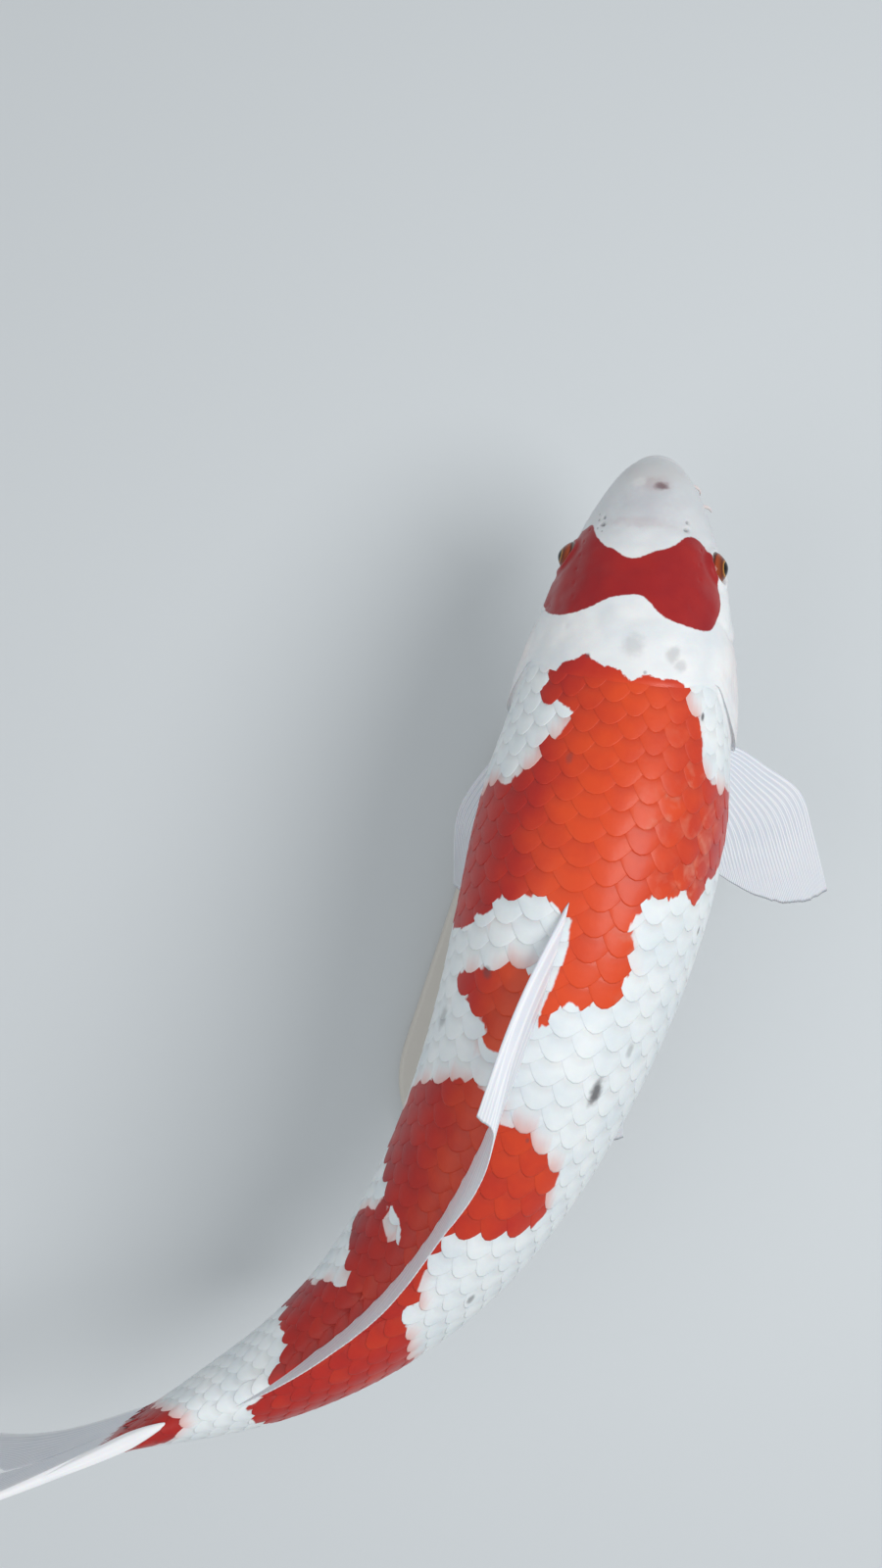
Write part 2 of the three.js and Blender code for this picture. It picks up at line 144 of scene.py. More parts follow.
BASE = {"length": 0.330, "width": 0.140, "height": 0.014, "round": 0.003}
ROD = {"radius": 0.0045, "collar": 0.010, "collar_height": 0.005, "collar_round": 0.0011,
       "into_belly": 0.002}
SHARP = math.radians(40)  # an edge that turns by more than this stays crisp

front_low, front_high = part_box("stand_rod_front")
rear_low, rear_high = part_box("stand_rod_rear")
front_foot, rear_foot = (front_low + front_high) / 2, (rear_low + rear_high) / 2
base_turn = math.atan2(rear_foot.y - front_foot.y, rear_foot.x - front_foot.x)


def finish_piece(piece, material, slot, *nodes):
    """Gives a piece its finish, lets it ride on the body, and hides the solids that it stands for."""
    piece.data.materials.clear()
    piece.data.materials.append(material)
    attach(piece, "root")
    if nodes:
        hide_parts(*nodes)


def round_edges(piece, width, segments):
    """Rounds the sharp edges of the active piece over."""
    bevel = piece.modifiers.new("round", "BEVEL")
    bevel.width = width
    bevel.segments = segments
    bevel.limit_method = "ANGLE"
    bpy.ops.object.modifier_apply(modifier="round")


base = fresh(bpy.ops.mesh.primitive_cylinder_add, vertices=96, radius=BASE["width"] / 2,
             depth=BASE["height"], location=(0, 0, BASE["height"] / 2))
base.name = "stand_plate"
for vertex in base.data.vertices:
    vertex.co.x += math.copysign(BASE["length"] / 2 - BASE["width"] / 2, vertex.co.x)
round_edges(base, BASE["round"], 5)
base.rotation_euler.z = base_turn
bpy.ops.object.transform_apply(location=True, rotation=True, scale=True)
bpy.ops.object.shade_smooth_by_angle(angle=SHARP)


def grain(add, per_metre, detail, strength, depth):
    """The bumps of a fine grain: so many to the metre, and so many metres deep."""
    height = add("TexNoise", {"Vector": add("TexCoord", output="Object"), "Scale": per_metre,
                              "Detail": detail})
    return add("Bump", {"Height": height, "Strength": strength, "Distance": depth})


# Sprayed enamel over cast metal: satin, with the faint orange-peel that spraying leaves.
enamel, shader, add = new_material("satin enamel")
set_inputs(shader, {"Base Color": linear("#CFCBC3"), "Roughness": 0.42,
                    "Normal": grain(add, 900, 1, 0.08, 0.0004)})
finish_piece(base, enamel, "stand_paint", "stand_base")

# Brushed stainless steel: rings 0.4 mm apart round the rod, which draw its highlights out lengthwise.
steel, shader, add = new_material("brushed stainless steel")
squeezed = add("Mapping", {"Vector": add("TexCoord", output="Object"), "Scale": (40, 40, 2600)})
brushing = add("TexNoise", {"Vector": squeezed, "Scale": 1, "Detail": 2})
dull = add("MapRange", {0: brushing, 3: 0.24, 4: 0.42})
relief = add("Bump", {"Height": brushing, "Strength": 0.15, "Distance": 0.0002})
set_inputs(shader, {"Base Color": linear("#B9BBBD"), "Metallic": 1, "Roughness": dull, "Normal": relief})

for name, foot, high in [("front", front_foot, front_high), ("rear", rear_foot, rear_high)]:
    top = high.z + ROD["into_belly"]
    rod = fresh(bpy.ops.mesh.primitive_cylinder_add, vertices=48, radius=ROD["radius"],
                depth=top - BASE["height"], location=(foot.x, foot.y, (BASE["height"] + top) / 2))
    collar = fresh(bpy.ops.mesh.primitive_cylinder_add, vertices=64, radius=ROD["collar"],
                   depth=ROD["collar_height"],
                   location=(foot.x, foot.y, BASE["height"] + ROD["collar_height"] / 2))
    round_edges(collar, ROD["collar_round"], 3)
    rod.select_set(True)
    bpy.ops.object.join()
    collar.name = f"stand_rod_{name}_steel"
    bpy.ops.object.transform_apply(location=True, rotation=True, scale=True)
    bpy.ops.object.shade_smooth_by_angle(angle=SHARP)
    finish_piece(collar, steel, "stand_steel", f"stand_rod_{name}")

# --- Body shape -----------------------------------------------------------------------------------
# The fish is laid out straight, in millimetres: x from the snout along the spine, y to its right, z
# up. Its skin, scales and fins are shaped there and then bent along the spine and banked together.

BODY = 620
AXIS_HEIGHT = 174
BANK = math.radians(12)
OVER_BASE = (40, 276)
BEND = [  # share of the length, and which way the spine heads there, in degrees
    (0, 4.2), (0.1, 6.8), (0.207, 8.8), (0.344, 12.7), (0.482, 19.1), (0.62, 29),
    (0.757, 45.2), (0.86, 59.3), (0.93, 67), (1, 71), (1.08, 74), (1.25, 84),
]
SECTIONS = [  # share of the length, half width, its level, back, belly
    (0, 0, -16, -16, -16), (0.012, 16, -16, 2, -32), (0.034, 25, -13, 15, -41),
    (0.068, 34.5, -8, 29.5, -48.5), (0.103, 43, -3, 41, -53.5), (0.14, 49, 0, 51, -59),
    (0.18, 54, 4, 61.5, -65.5), (0.24, 60, 7, 73, -73.5), (0.3, 63.5, 8, 82, -80),
    (0.35, 64.5, 8, 86.5, -84), (0.42, 62.5, 7, 88, -86), (0.5, 58, 6, 84.5, -84),
    (0.6, 51.5, 5, 74, -75), (0.7, 43.5, 4, 60, -61), (0.78, 35, 3, 49, -48),
    (0.86, 26, 2, 40, -37), (0.93, 18, 1, 36, -33), (1, 7.5, 1, 38, -36),
]
BACK_ROUNDNESS, BELLY_ROUNDNESS = 2.15, 2.2


def smooth_curve(places, values):
    """A curve through given values that never overshoots them (monotone cubic)."""
    places, values = np.array(places, float), np.array(values, float)
    slopes = np.diff(values) / np.diff(places)
    product = slopes[:-1] * slopes[1:]
    total = np.where(product > 0, slopes[:-1] + slopes[1:], 1)
    inner = np.where(product > 0, 2 * product / total, 0)
    tangents = np.concatenate([slopes[:1], inner, slopes[-1:]])

    def at(where):
        x = np.clip(where, places[0], places[-1])
        i = np.clip(np.searchsorted(places, x) - 1, 0, len(slopes) - 1)
        span = places[i + 1] - places[i]
        t = (x - places[i]) / span
        rise = t * t * (3 - 2 * t)
        pull = (1 - t) * tangents[i] - t * tangents[i + 1]
        return values[i] * (1 - rise) + values[i + 1] * rise + span * t * (1 - t) * pull

    return at


heading = smooth_curve([row[0] for row in BEND], np.radians([row[1] for row in BEND]))
spine_x = np.arange(0, 1.25 * BODY + 1)
spine_turn = heading((spine_x[:-1] + 0.5) / BODY)
spine_side = np.concatenate([[0], np.cumsum(np.sin(spine_turn))])
spine_back = np.concatenate([[0], np.cumsum(np.cos(spine_turn))])


def bend(points):
    """Straight body coordinates in millimetres to the fish on its stand, in metres."""
    x, y, z = np.moveaxis(points, -1, 0)
    turn = heading(x / BODY)
    ahead = np.minimum(x, 0)
    side = np.interp(x, spine_x, spine_side) + ahead * np.sin(turn)
    back = np.interp(x, spine_x, spine_back) + ahead * np.cos(turn)
    right = y * math.cos(BANK) - z * math.sin(BANK)
    up = y * math.sin(BANK) + z * math.cos(BANK)
    placed = [side - OVER_BASE[0] - right * np.cos(turn),
              back - OVER_BASE[1] + right * np.sin(turn), up + AXIS_HEIGHT]
    return np.stack(placed, -1) / 1000


STATIONS, ROUND = 900, 256
roots = np.sqrt([row[0] for row in SECTIONS])
profiles = [smooth_curve(roots, [row[column] for row in SECTIONS]) for column in (1, 2, 3, 4)]
station_root = np.linspace(0, 1, STATIONS)


def half_sections():
    """The right half of each cross-section, at even steps of skin from back to belly."""
    wide, level, back, belly = (curve(station_root)[:, None] for curve in profiles)
    angle = np.linspace(np.pi / 2, -np.pi / 2, 1201)
    side, lift = np.abs(np.cos(angle)), np.sin(angle)
    power = 2 / np.where(lift >= 0, BACK_ROUNDNESS, BELLY_ROUNDNESS)
    y = side ** power * wide
    z = level + np.sign(lift) * np.abs(lift) ** power * np.where(lift >= 0, back - level, level - belly)
    walked = np.cumsum(np.hypot(np.diff(y, axis=1), np.diff(z, axis=1)), axis=1)
    walked = np.concatenate([np.zeros((STATIONS, 1)), walked], axis=1)
    steps = np.linspace(0, 1, ROUND + 1)
    even_y = [np.interp(steps * w[-1], w, row) for w, row in zip(walked, y)]
    even_z = [np.interp(steps * w[-1], w, row) for w, row in zip(walked, z)]
    return np.array(even_y), np.array(even_z), walked[:, -1]


table_y, table_z, table_girth = half_sections()


def look_up(table, x, g):
    """A value between the stations and steps of a table of cross-sections."""
    r = np.clip(np.sqrt(np.maximum(x, 0) / BODY), 0, 1) * (STATIONS - 1)
    c = np.clip(np.abs(g), 0, 1) * ROUND
    r0, c0 = np.minimum(r.astype(int), STATIONS - 2), np.minimum(c.astype(int), ROUND - 1)
    fr, fc = r - r0, c - c0
    near = table[r0, c0] * (1 - fc) + table[r0, c0 + 1] * fc
    far = table[r0 + 1, c0] * (1 - fc) + table[r0 + 1, c0 + 1] * fc
    return near * (1 - fr) + far * fr


def half_girth(x):
    """Millimetres of skin from the ridge of the back to the middle of the belly."""
    return np.interp(np.sqrt(np.maximum(x, 0) / BODY), station_root, table_girth)


def on_body(x, g):
    """The bare body at x and g, the share of the way from the back, 0, to the belly, 1 or -1 (left)."""
    x, g = np.broadcast_arrays(np.asarray(x, float), np.asarray(g, float))
    return np.stack([x, np.sign(g) * look_up(table_y, x, g), look_up(table_z, x, g)], -1)


def unit(vectors):
    """Vectors, each brought to a length of 1."""
    return vectors / np.maximum(np.linalg.norm(vectors, axis=-1, keepdims=True), 1e-9)


def round_the_belly(g):
    """Shares past the middle of the belly, brought back on the other side."""
    return np.where(np.abs(g) > 1, g - 2 * np.sign(g), g)


def outwards(x, g):
    """The direction straight out of the bare body."""
    x, g = np.broadcast_arrays(np.asarray(x, float), np.asarray(g, float))
    step = 1.5 / np.maximum(half_girth(x), 8)
    along = on_body(np.minimum(x + 1.2, BODY), g) - on_body(np.maximum(x - 1.2, 0), g)
    ring = np.maximum(x, 0.05)
    around = on_body(ring, round_the_belly(g + step)) - on_body(ring, round_the_belly(g - step))
    return unit(np.cross(along, around))

# --- Markings -------------------------------------------------------------------------------------
# The red of a koi lies in whole scales on the body and in smooth-edged fields on the bare head.
# Each field is an outline on the unrolled skin: millimetres along the fish, then out from its ridge.

RED_FIELDS = {
    "head": [
        (45, -30), (52, -25), (58, -18), (60, -13), (64, -6), (64, 0), (60, 7), (56, 16), (49, 24),
        (50, 32), (55, 39), (61, 44), (70, 49), (79, 52), (88, 50), (96, 45), (97, 34), (96, 25),
        (93, 16), (87, 9), (84, 4), (85, -4), (88, -13), (94, -23), (97, -36), (95, -51), (88, -64),
        (78, -67), (70, -62), (60, -53), (51, -48), (46, -36),
    ],
    "back": [
        (126, 34), (124, 27), (125, 20), (124, 13), (128, 7), (123, 0), (122, -8), (120, -13),
        (117, -17), (120, -22), (123, -29), (129, -34), (135, -41), (139, -41), (142, -35),
        (144, -27), (146, -20), (154, -21), (162, -26), (168, -31), (175, -31), (181, -38),
        (187, -43), (191, -51), (188, -60), (189, -70), (194, -80), (199, -98), (215, -114),
        (235, -119), (252, -110), (266, -98), (272, -84), (270, -72), (266, -60), (260, -50),
        (256, -42), (249, -34), (246, -26), (243, -16), (238, -8), (241, -1), (252, 2), (276, 2),
        (304, 1), (298, 7), (294, 11), (284, 11), (283, 16), (286, 23), (280, 30), (273, 38),
        (264, 42), (256, 39), (250, 31), (242, 31), (237, 29), (233, 37), (229, 43), (227, 57),
        (221, 58), (226, 65), (225, 71), (219, 76), (215, 84), (210, 97), (199, 106), (186, 108),
        (176, 99), (172, 87), (171, 73), (172, 63), (167, 56), (162, 51), (150, 48), (142, 45),
        (134, 38),
    ],
    "small left": [
        (274, -2), (276, -12), (274, -20), (279, -24), (284, -26), (286, -35), (289, -42),
        (295, -49), (302, -46), (305, -38), (309, -32), (311, -25), (315, -22), (319, -16),
        (318, -8), (306, -2),
    ],
    "large left": [
        (341, -1), (342, -13), (338, -24), (344, -31), (352, -40), (357, -52), (365, -63),
        (379, -72), (394, -79), (404, -73), (409, -56), (416, -46), (419, -39), (427, -32),
        (433, -35), (440, -47), (450, -52), (457, -40), (466, -27), (472, -21), (469, -17),
        (477, -16), (482, -17), (486, -28), (494, -32), (500, -41), (508, -54), (517, -60),
        (522, -50), (520, -37), (525, -31), (525, -24), (522, -18), (524, -12), (529, -5),
        (536, -2), (541, 0), (549, 2), (556, 3), (561, 6), (557, 12), (557, 24), (552, 38),
        (543, 52), (528, 61), (508, 62), (492, 57), (480, 48), (477, 38), (471, 30), (469, 18),
        (461, 14), (454, 17), (449, 12), (442, 9), (435, 5), (420, 3), (395, 1), (375, 0), (355, -1),
    ],
    "right": [
        (353, -1), (349, 8), (347, 15), (351, 21), (356, 27), (362, 32), (360, 38), (367, 41),
        (376, 43), (385, 50), (390, 47), (394, 40), (400, 40), (403, 30), (404, 22), (411, 18),
        (414, 13), (413, 9), (422, 7), (440, 7), (440, -1), (400, -1), (370, -1),
    ],
    "tail root": [
        (589, 0), (592, -5), (597, -10), (603, -15), (609, -28), (613, -42), (616, -58), (642, -60),
        (642, 16), (622, 15), (611, 12), (600, 7), (594, 4),
    ],
}
WHITE_SLIT = [(424, -31), (424, -22), (427, -16), (431, -10), (439, -14), (435, -22), (430, -30)]

# Sumi: dark spots in the skin. The four at 40.5 and 44.9 along, 23 out on each side, are painted shade in
# the nostril openings and crescents.
DARK_SPOTS_AND_NOSTRIL_SHADE = [  # along, out from the ridge, half length, half height, strength
    (320, 43, 6, 3.4, 1), (238, 88, 2, 1.6, 0.8), (436, 39, 2.6, 2, 0.7), (110, 5, 5.5, 5, 0.24),
    (112, 25, 4.5, 3.5, 0.3), (117, 30, 3, 3, 0.26), (44.9, 23, 1.1, 1.6, 0.6),
    (44.9, -23, 1.1, 1.6, 0.6), (40.5, 23, 0.9, 0.9, 0.5), (40.5, -23, 0.9, 0.9, 0.5),
    (139, 48, 1.8, 1, 0.95), (283, -30, 3, 2.6, 0.6), (298, 56, 3.4, 2.2, 0.4),
    (317, -55, 6.5, 3.5, 0.42), (118, -16, 1.2, 1.2, 0.5), (170, -15, 2.6, 1.8, 0.4),
    (123, 13, 0.9, 0.9, 0.5), (42, -26.5, 0.8, 0.7, 0.5), (47.5, -25.5, 0.8, 0.6, 0.45),
    (49.5, -22, 0.6, 0.6, 0.45), (38.5, -27, 0.6, 0.6, 0.4), (352, 18, 1.2, 1, 0.5),
]


def between(a, b, c, d, t):
    """The place at share t of the way from b to c, on a smooth curve through a, b, c and d."""
    return b + t * ((c - a) / 2 + t * ((2 * a - 5 * b + 4 * c - d) / 2 + t * (3 * b - a - 3 * c + d) / 2))


def rounded_outline(corners):
    """A closed curve through the corners of an outline, in five steps from each to the next."""
    p = np.array(corners, float)
    before, here, after, last = (np.roll(p, turn, 0)[:, None] for turn in (1, 0, -1, -2))
    return between(before, here, after, last, (np.arange(5) / 5)[None, :, None]).reshape(-1, 2)


FAR = 16  # how many millimetres outside an outline still count


def inside_by(outline, along, out):
    """How far a place lies inside an outline, in millimetres, negative outside it."""
    place = np.stack([np.ravel(along), np.ravel(out)], -1)
    start = rounded_outline(outline)
    end = np.roll(start, -1, 0)
    low, high = start.min(0) - FAR, start.max(0) + FAR
    near = np.all((place > low) & (place < high), axis=1)
    result = np.full(len(place), -float(FAR))
    spots = place[near][:, None, :]
    edge = (end - start)[None]
    offset = spots - start[None]
    t = np.clip((offset * edge).sum(-1) / np.maximum((edge ** 2).sum(-1), 1e-9), 0, 1)
    distance = np.linalg.norm(offset - edge * t[..., None], axis=-1).min(1)
    y, y0, y1 = spots[..., 1], start[None, :, 1], end[None, :, 1]
    crosses = (y0 > y) != (y1 > y)
    at = start[None, :, 0] + (y - y0) * edge[..., 0] / np.where(crosses, y1 - y0, 1)
    odd = (crosses & (spots[..., 0] < at)).sum(1) % 2 == 1
    result[near] = np.where(odd, distance, -distance)
    return result.reshape(np.shape(along))


def red_depth(along, out):
    """Millimetres inside the red, over all its fields, negative on the white."""
    depth = np.max([inside_by(outline, along, out) for outline in RED_FIELDS.values()], axis=0)
    return np.minimum(depth, -inside_by(WHITE_SLIT, along, out))


def skin_map(along, out):
    """The place on the unrolled skin, from 0 to 1 both ways."""
    return np.stack([0.02 + 0.94 * along / 650, 0.5 + out / 500], -1)


def ease(t):
    """A soft step from 0 to 1."""
    t = np.clip(t, 0, 1)
    return t * t * (3 - 2 * t)


def hump(distance, width):
    """A bell curve: 1 at no distance, and hardly anything at twice the width."""
    return np.exp(-(distance / width) ** 2)


# The red along the fish: crimson on the head, vermilion on the shoulders, brick towards the tail; the
# head's deeper crimson is partly painted shade.
warmth_and_shade_along = smooth_curve([0, 100, 135, 300, 400, 620], [0.08, 0.14, 0.80, 0.92, 0.66, 0.32])


def red_warmth_and_painted_light(along, out):
    """Crimson (0) to vermilion (1): head, shoulders, tail; painted highlight right of the ridge, painted
    shade on the flanks.
    """
    # Painted light: a brighter, warmer band right of the ridge stands for light falling there, and deeper
    # red down both flanks for shade; partly the red's own hue as well.
    painted_highlight_band = 0.26 * hump(out - 12, 17) * ease((along - 120) / 20) * ease((330 - along) / 60)
    painted_flank_shade = 0.48 * ease((-6 - out) / 40) + 0.32 * ease((out - 44) / 40)
    return np.clip(warmth_and_shade_along(along) + painted_highlight_band - painted_flank_shade, 0, 1)


# What a living fish's surface has in common: slime as clear as water, over flesh that lets light in.
WET = {"Roughness": 0.36, "IOR": 1.38, "Coat Weight": 0.2, "Coat Roughness": 0.12, "Coat IOR": 1.33,
       "Subsurface Weight": 0.08, "Subsurface Scale": 0.003}


def spot_maker(add):
    """A function that adds a soft, uneven spot at a place on the unrolled skin, in millimetres."""
    along, out = (add("Attribute", output="Fac", attribute_name=name) for name in ("along", "out"))
    place = add("CombineXYZ", {0: along, 1: out})
    noise = add("TexNoise", {"Vector": add("TexCoord", output="Object"), "Scale": 300, "Detail": 2},
                output="Color")
    wobble = add("VectorMath", {0: noise, 1: (0.9, 0.9, 0), 2: (-0.45, -0.45, 0)},
                 operation="MULTIPLY_ADD")

    def spot(x, s, long, high, strength):
        scaled = add("VectorMath", {0: place, 1: (1 / long, 1 / high, 0), 2: (-x / long, -s / high, 0)},
                     operation="MULTIPLY_ADD")
        uneven = add("VectorMath", {0: scaled, 1: wobble}, operation="ADD")
        reach = add("VectorMath", {0: uneven}, output="Value", operation="LENGTH")
        return add("MapRange", {0: reach, 1: 1.5, 2: 0.4, 4: strength}, interpolation_type="SMOOTHSTEP")

    return spot


def set_ramp(ramp, stops):
    """Gives a colour ramp its stops, each a place and an sRGB hex colour."""
    elements = ramp.node.color_ramp.elements
    for place, _ in stops[1:-1]:
        elements.new(place)
    for element, (place, colour) in zip(elements, stops):
        element.position = place
        element.color = linear(colour)


def add_markings(add):
    """The white, red and dark of skin and scales alike, from the values that they carry."""
    red, warmth_and_painted_light, blush, grey, shade, along = (
        add("Attribute", output="Fac", attribute_name=name)
        for name in ("red", "warmth_and_painted_light", "blush", "grey", "shade", "along"))
    spot = spot_maker(add)
    where = add("TexCoord", output="Object")
    cloud = add("TexNoise", {"Vector": where, "Scale": 60, "Detail": 3})
    fine = add("TexNoise", {"Vector": where, "Scale": 420, "Detail": 2})
    # White: clouded, greyer on the snout, and flushed beside the red that lies under the next scale.
    mottle = add("MapRange", {0: cloud, 1: 0.26, 2: 0.74})
    white = add("Mix", {0: mottle, 6: linear("#E0E6EA"), 7: linear("#F2F3F3")})
    greying = add("Math", {0: grey, 1: 0.7}, operation="MULTIPLY")
    plain = add("Mix", {0: greying, 6: white, 7: linear("#CDD0D4")})
    flushed = add("Mix", {0: blush, 6: plain, 7: linear("#E3A79F")})
    # Red: from crimson to vermilion, a little different on each scale; the warmth also holds painted light
    # and shade.
    drift = add("Math", {0: cloud, 1: 0.5, 2: -0.25}, operation="MULTIPLY_ADD")
    own_drift = add("Math", {0: shade, 1: 0.14, 2: drift}, operation="MULTIPLY_ADD")
    hue_and_painted_light = add("Math", {0: warmth_and_painted_light, 1: own_drift}, operation="ADD")
    full_red = add("ValToRGB", {0: hue_and_painted_light})
    set_ramp(full_red, [(0, "#98191F"), (0.5, "#BC2A20"), (1, "#E04A20")])
    # Some scales on the right of the back have thin red, so that the white shows through in flecks.
    flakes = add("TexNoise", {"Vector": where, "Scale": 130, "Detail": 3, "Distortion": 0.4})
    flaked = add("MapRange", {0: flakes, 1: 0.46, 2: 0.66, 4: 0.65})
    thinner = add("MapRange", {0: shade, 1: -0.2, 2: 0.25})
    fleck = add("Math", {0: flaked, 1: thinner}, operation="MULTIPLY")
    fleck_side = add("Math", {0: fleck, 1: spot(212, 52, 62, 26, 1)}, operation="MULTIPLY")
    reds = add("Mix", {0: fleck_side, 6: full_red, 7: linear("#DC7F68")})
    # The red's edge is ragged by up to a millimetre, most of all at the nape.
    starts = add("MapRange", {0: along, 1: 104, 2: 122, 3: 1.1, 4: 2.6})
    stops = add("MapRange", {0: along, 1: 135, 2: 165, 3: 1.0, 4: 0.35})
    teeth = add("Math", {0: starts, 1: stops}, operation="MULTIPLY")
    centred = add("Math", {0: fine, 1: 0.5}, operation="SUBTRACT")
    ragged = add("Math", {0: centred, 1: teeth}, operation="MULTIPLY")
    depth = add("Math", {0: red, 1: ragged}, operation="ADD")
    edge = add("MapRange", {0: depth, 1: -0.3, 2: 0.4})
    pattern = add("Mix", {0: edge, 6: flushed, 7: reds})
    # Dark: sumi spots, and painted shade in the nostrils.
    darkest = 0
    for spot_or_nostril_shade in DARK_SPOTS_AND_NOSTRIL_SHADE:
        darkest = add("Math", {0: spot(*spot_or_nostril_shade), 1: darkest}, operation="MAXIMUM")
    soft = add("Math", {0: darkest, 1: 0.86}, operation="MULTIPLY")
    return add("Mix", {0: soft, 6: pattern, 7: linear("#45464B")})

# --- Skin -----------------------------------------------------------------------------------------
# One skin covers head, jaws, gill covers, trunk and tail stalk. It is bare and smooth on the head,
# folds over at the gill covers' free edge, and from there on lies under the scales.

SCALE_DEPTH = 0.72  # from the top of the scales down to the skin
COVER_EDGE = smooth_curve(  # where the head ends, by share of the way round: nape, gill cover, throat
    [0, 0.15, 0.25, 0.29, 0.33, 0.38, 0.44, 0.54, 0.62, 0.7, 0.77, 0.84, 0.92, 1],
    [127, 125, 121.5, 123, 131, 140, 146, 149.5, 148, 142.5, 133, 119, 105, 97])
COVER_RIM = 130  # the ring that is pushed onto that edge; the next ones fold in under it
FOLD = [COVER_RIM + step for step in (0, 0.25, 0.5, 0.75, 1, 1.3, 1.7, 2.3, 3.2)]
cover_lift = smooth_curve([0, 0.25, 0.31, 0.4, 0.8, 0.92, 1], [0, 0, 0.7, 1, 1, 0.55, 0.25])
CHEEK_LINE = smooth_curve([0, 0.3, 0.45, 0.6, 0.72, 0.85, 1], [84, 90, 97, 97, 90, 74, 60])

EYE = {"x": 62, "y": 34.5, "z": 12, "radius": 9.2, "flat": 0.86, "out": 0.7}
EYE_AXIS = {side: unit(np.array([-0.10, side, 0.26])) for side in (1, -1)}
MOUTH = {"front": 2, "back": 23, "half_width": 18, "z": -20, "drop": 9}
UPPER_LIP, LOWER_LIP, LIP_STEP = 4.8, 4.4, 8.5
NOSTRIL = {"x": 40.5, "out": 23}
COVER_FAN = (98, 62)  # where the ribs of the gill cover start from
COVER_SEAM = smooth_curve([95, 110, 130, 150], [131, 132, 129, 121])
BONES = [  # wave length, direction, height
    (29, 0.5, 0.20), (21, 2.2, 0.16), (14, 1.2, 0.09), (9.5, 2.7, 0.05), (7, 0.1, 0.03)]
SENSE_PORES = [  # along, out from the ridge, on either side
    (48, 31), (55, 33), (63, 33.5), (71, 34), (79, 33), (87, 31), (95, 30), (103, 32),
    (47, 52), (50, 60), (56, 67), (64, 71), (73, 70), (81, 66), (87, 59), (91, 51),
    (91, 66), (92, 78), (92, 90), (89, 101), (83, 111), (75, 117), (66, 119), (56, 118), (46, 113),
]


def skin_rows():
    """Where the rings of the skin lie: close together on the snout, eye and gill-cover edge."""
    rows = list((np.arange(1, 31) * 0.1) ** 2)

    def go_on(*stretches):
        for end, step in stretches:
            count = round((end - rows[-1]) / step)
            rows.extend(np.linspace(rows[-1], end, count + 1)[1:])

    go_on((36, 0.62), (80, 0.8), (112, 1.25), (127, 0.95), (129.6, 0.5))
    rows.extend(FOLD)
    go_on((150, 1.7), (600, 5.5), (BODY, 2.0))
    return np.array(rows)


def skin_columns():
    """Shares of the way round one side, crowded at the eye and the corner of the mouth."""
    g = np.linspace(0, 1, 2001)
    crowding = 1 + 1.1 * hump(g - 0.36, 0.1) + 0.8 * hump(g - 0.19, 0.05) + 0.5 * hump(g - 0.62, 0.1)
    walked = np.concatenate([[0], np.cumsum((crowding[1:] + crowding[:-1]) / 2)])
    return np.interp(np.linspace(0, walked[-1], 151), walked, g)


def lip_path(lower):
    """The middle line of a lip, round the front of the mouth from corner to corner."""
    angle = np.linspace(-np.pi / 2, np.pi / 2, 61)
    back = 1 - np.cos(angle)
    path = [MOUTH["front"] + lower * 0.4 + back * MOUTH["back"], MOUTH["half_width"] * np.sin(angle),
            MOUTH["z"] - lower - back * MOUTH["drop"]]
    return np.stack(path, -1), np.sin(np.linspace(0, np.pi, len(angle)))


def soft_max(a, b, width):
    """The larger of two heights, with a fillet of that width where they meet."""
    blend = np.maximum(width - np.abs(a - b), 0) / width
    return np.maximum(a, b) + blend ** 2 * width / 4


def lip_height(points, normals, lower, thick):
    """How far a round lip stands out of the bare body along its normals."""
    path, middle = lip_path(lower)
    radius = thick * (0.6 + 0.4 * middle)
    reach = path[None] - points[:, None]
    ahead = (reach * normals[:, None]).sum(-1)
    inside = radius[None] ** 2 - (reach ** 2).sum(-1) + ahead ** 2
    return np.where(inside > 0, ahead + np.sqrt(np.maximum(inside, 0)), -9).max(1)


def distance_to(path, points):
    """How far each point lies from the nearest one of a path."""
    return np.linalg.norm(points[:, None] - path[None], axis=-1).min(1)


# The head's features come next, each as its height over the bare body in millimetres, for points that
# lie x along the fish, s out from its ridge and a share g of the way round.


def bones(x, s, edge):
    """Skull and cheek bones: shallow swellings that show through the skin."""
    height = 0
    for length, turn, high in BONES:
        wave = (x * math.cos(turn) + s * math.sin(turn)) * 2 * math.pi / length
        bow = (x * math.sin(turn) - s * math.cos(turn)) * 2 * math.pi / (1.6 * length)
        height = height + high * np.sin(wave + 1.3 * np.sin(bow))
    return height * ease((x - 14) / 20) * ease((edge - 3 - x) / 14)


def gill_cover(x, s, g, edge):
    """A domed gill cover with a soft margin along its free edge, behind a groove along the cheek. Fine
    ribs fan out over it from its upper front corner, and a seam runs low along it."""
    lift = cover_lift(np.abs(g))
    cheek = x - CHEEK_LINE(np.abs(g))
    groove = ease((np.abs(g) - 0.28) / 0.1) * (0.55 * hump(cheek + 6, 5) - 1.1 * hump(cheek, 1.5))
    fan_x, fan_s = x - COVER_FAN[0], np.abs(s) - COVER_FAN[1]
    spoke = np.hypot(fan_x, fan_s)
    ribs = ease((spoke - 9) / 10) * np.sin(34 * np.arctan2(fan_s, fan_x) + 0.12 * spoke)
    seam = np.abs(s) - COVER_SEAM(x)
    plate = 0.9 + 0.1 * ribs - 0.55 * hump(seam, 1.3) + 0.3 * hump(seam + 4, 3)
    plate = plate * ease(cheek / 12) * ease((edge + 2 - x) / 10)
    return lift * (plate - 0.45 * hump(x - (edge - 6.5), 1.5)) + groove


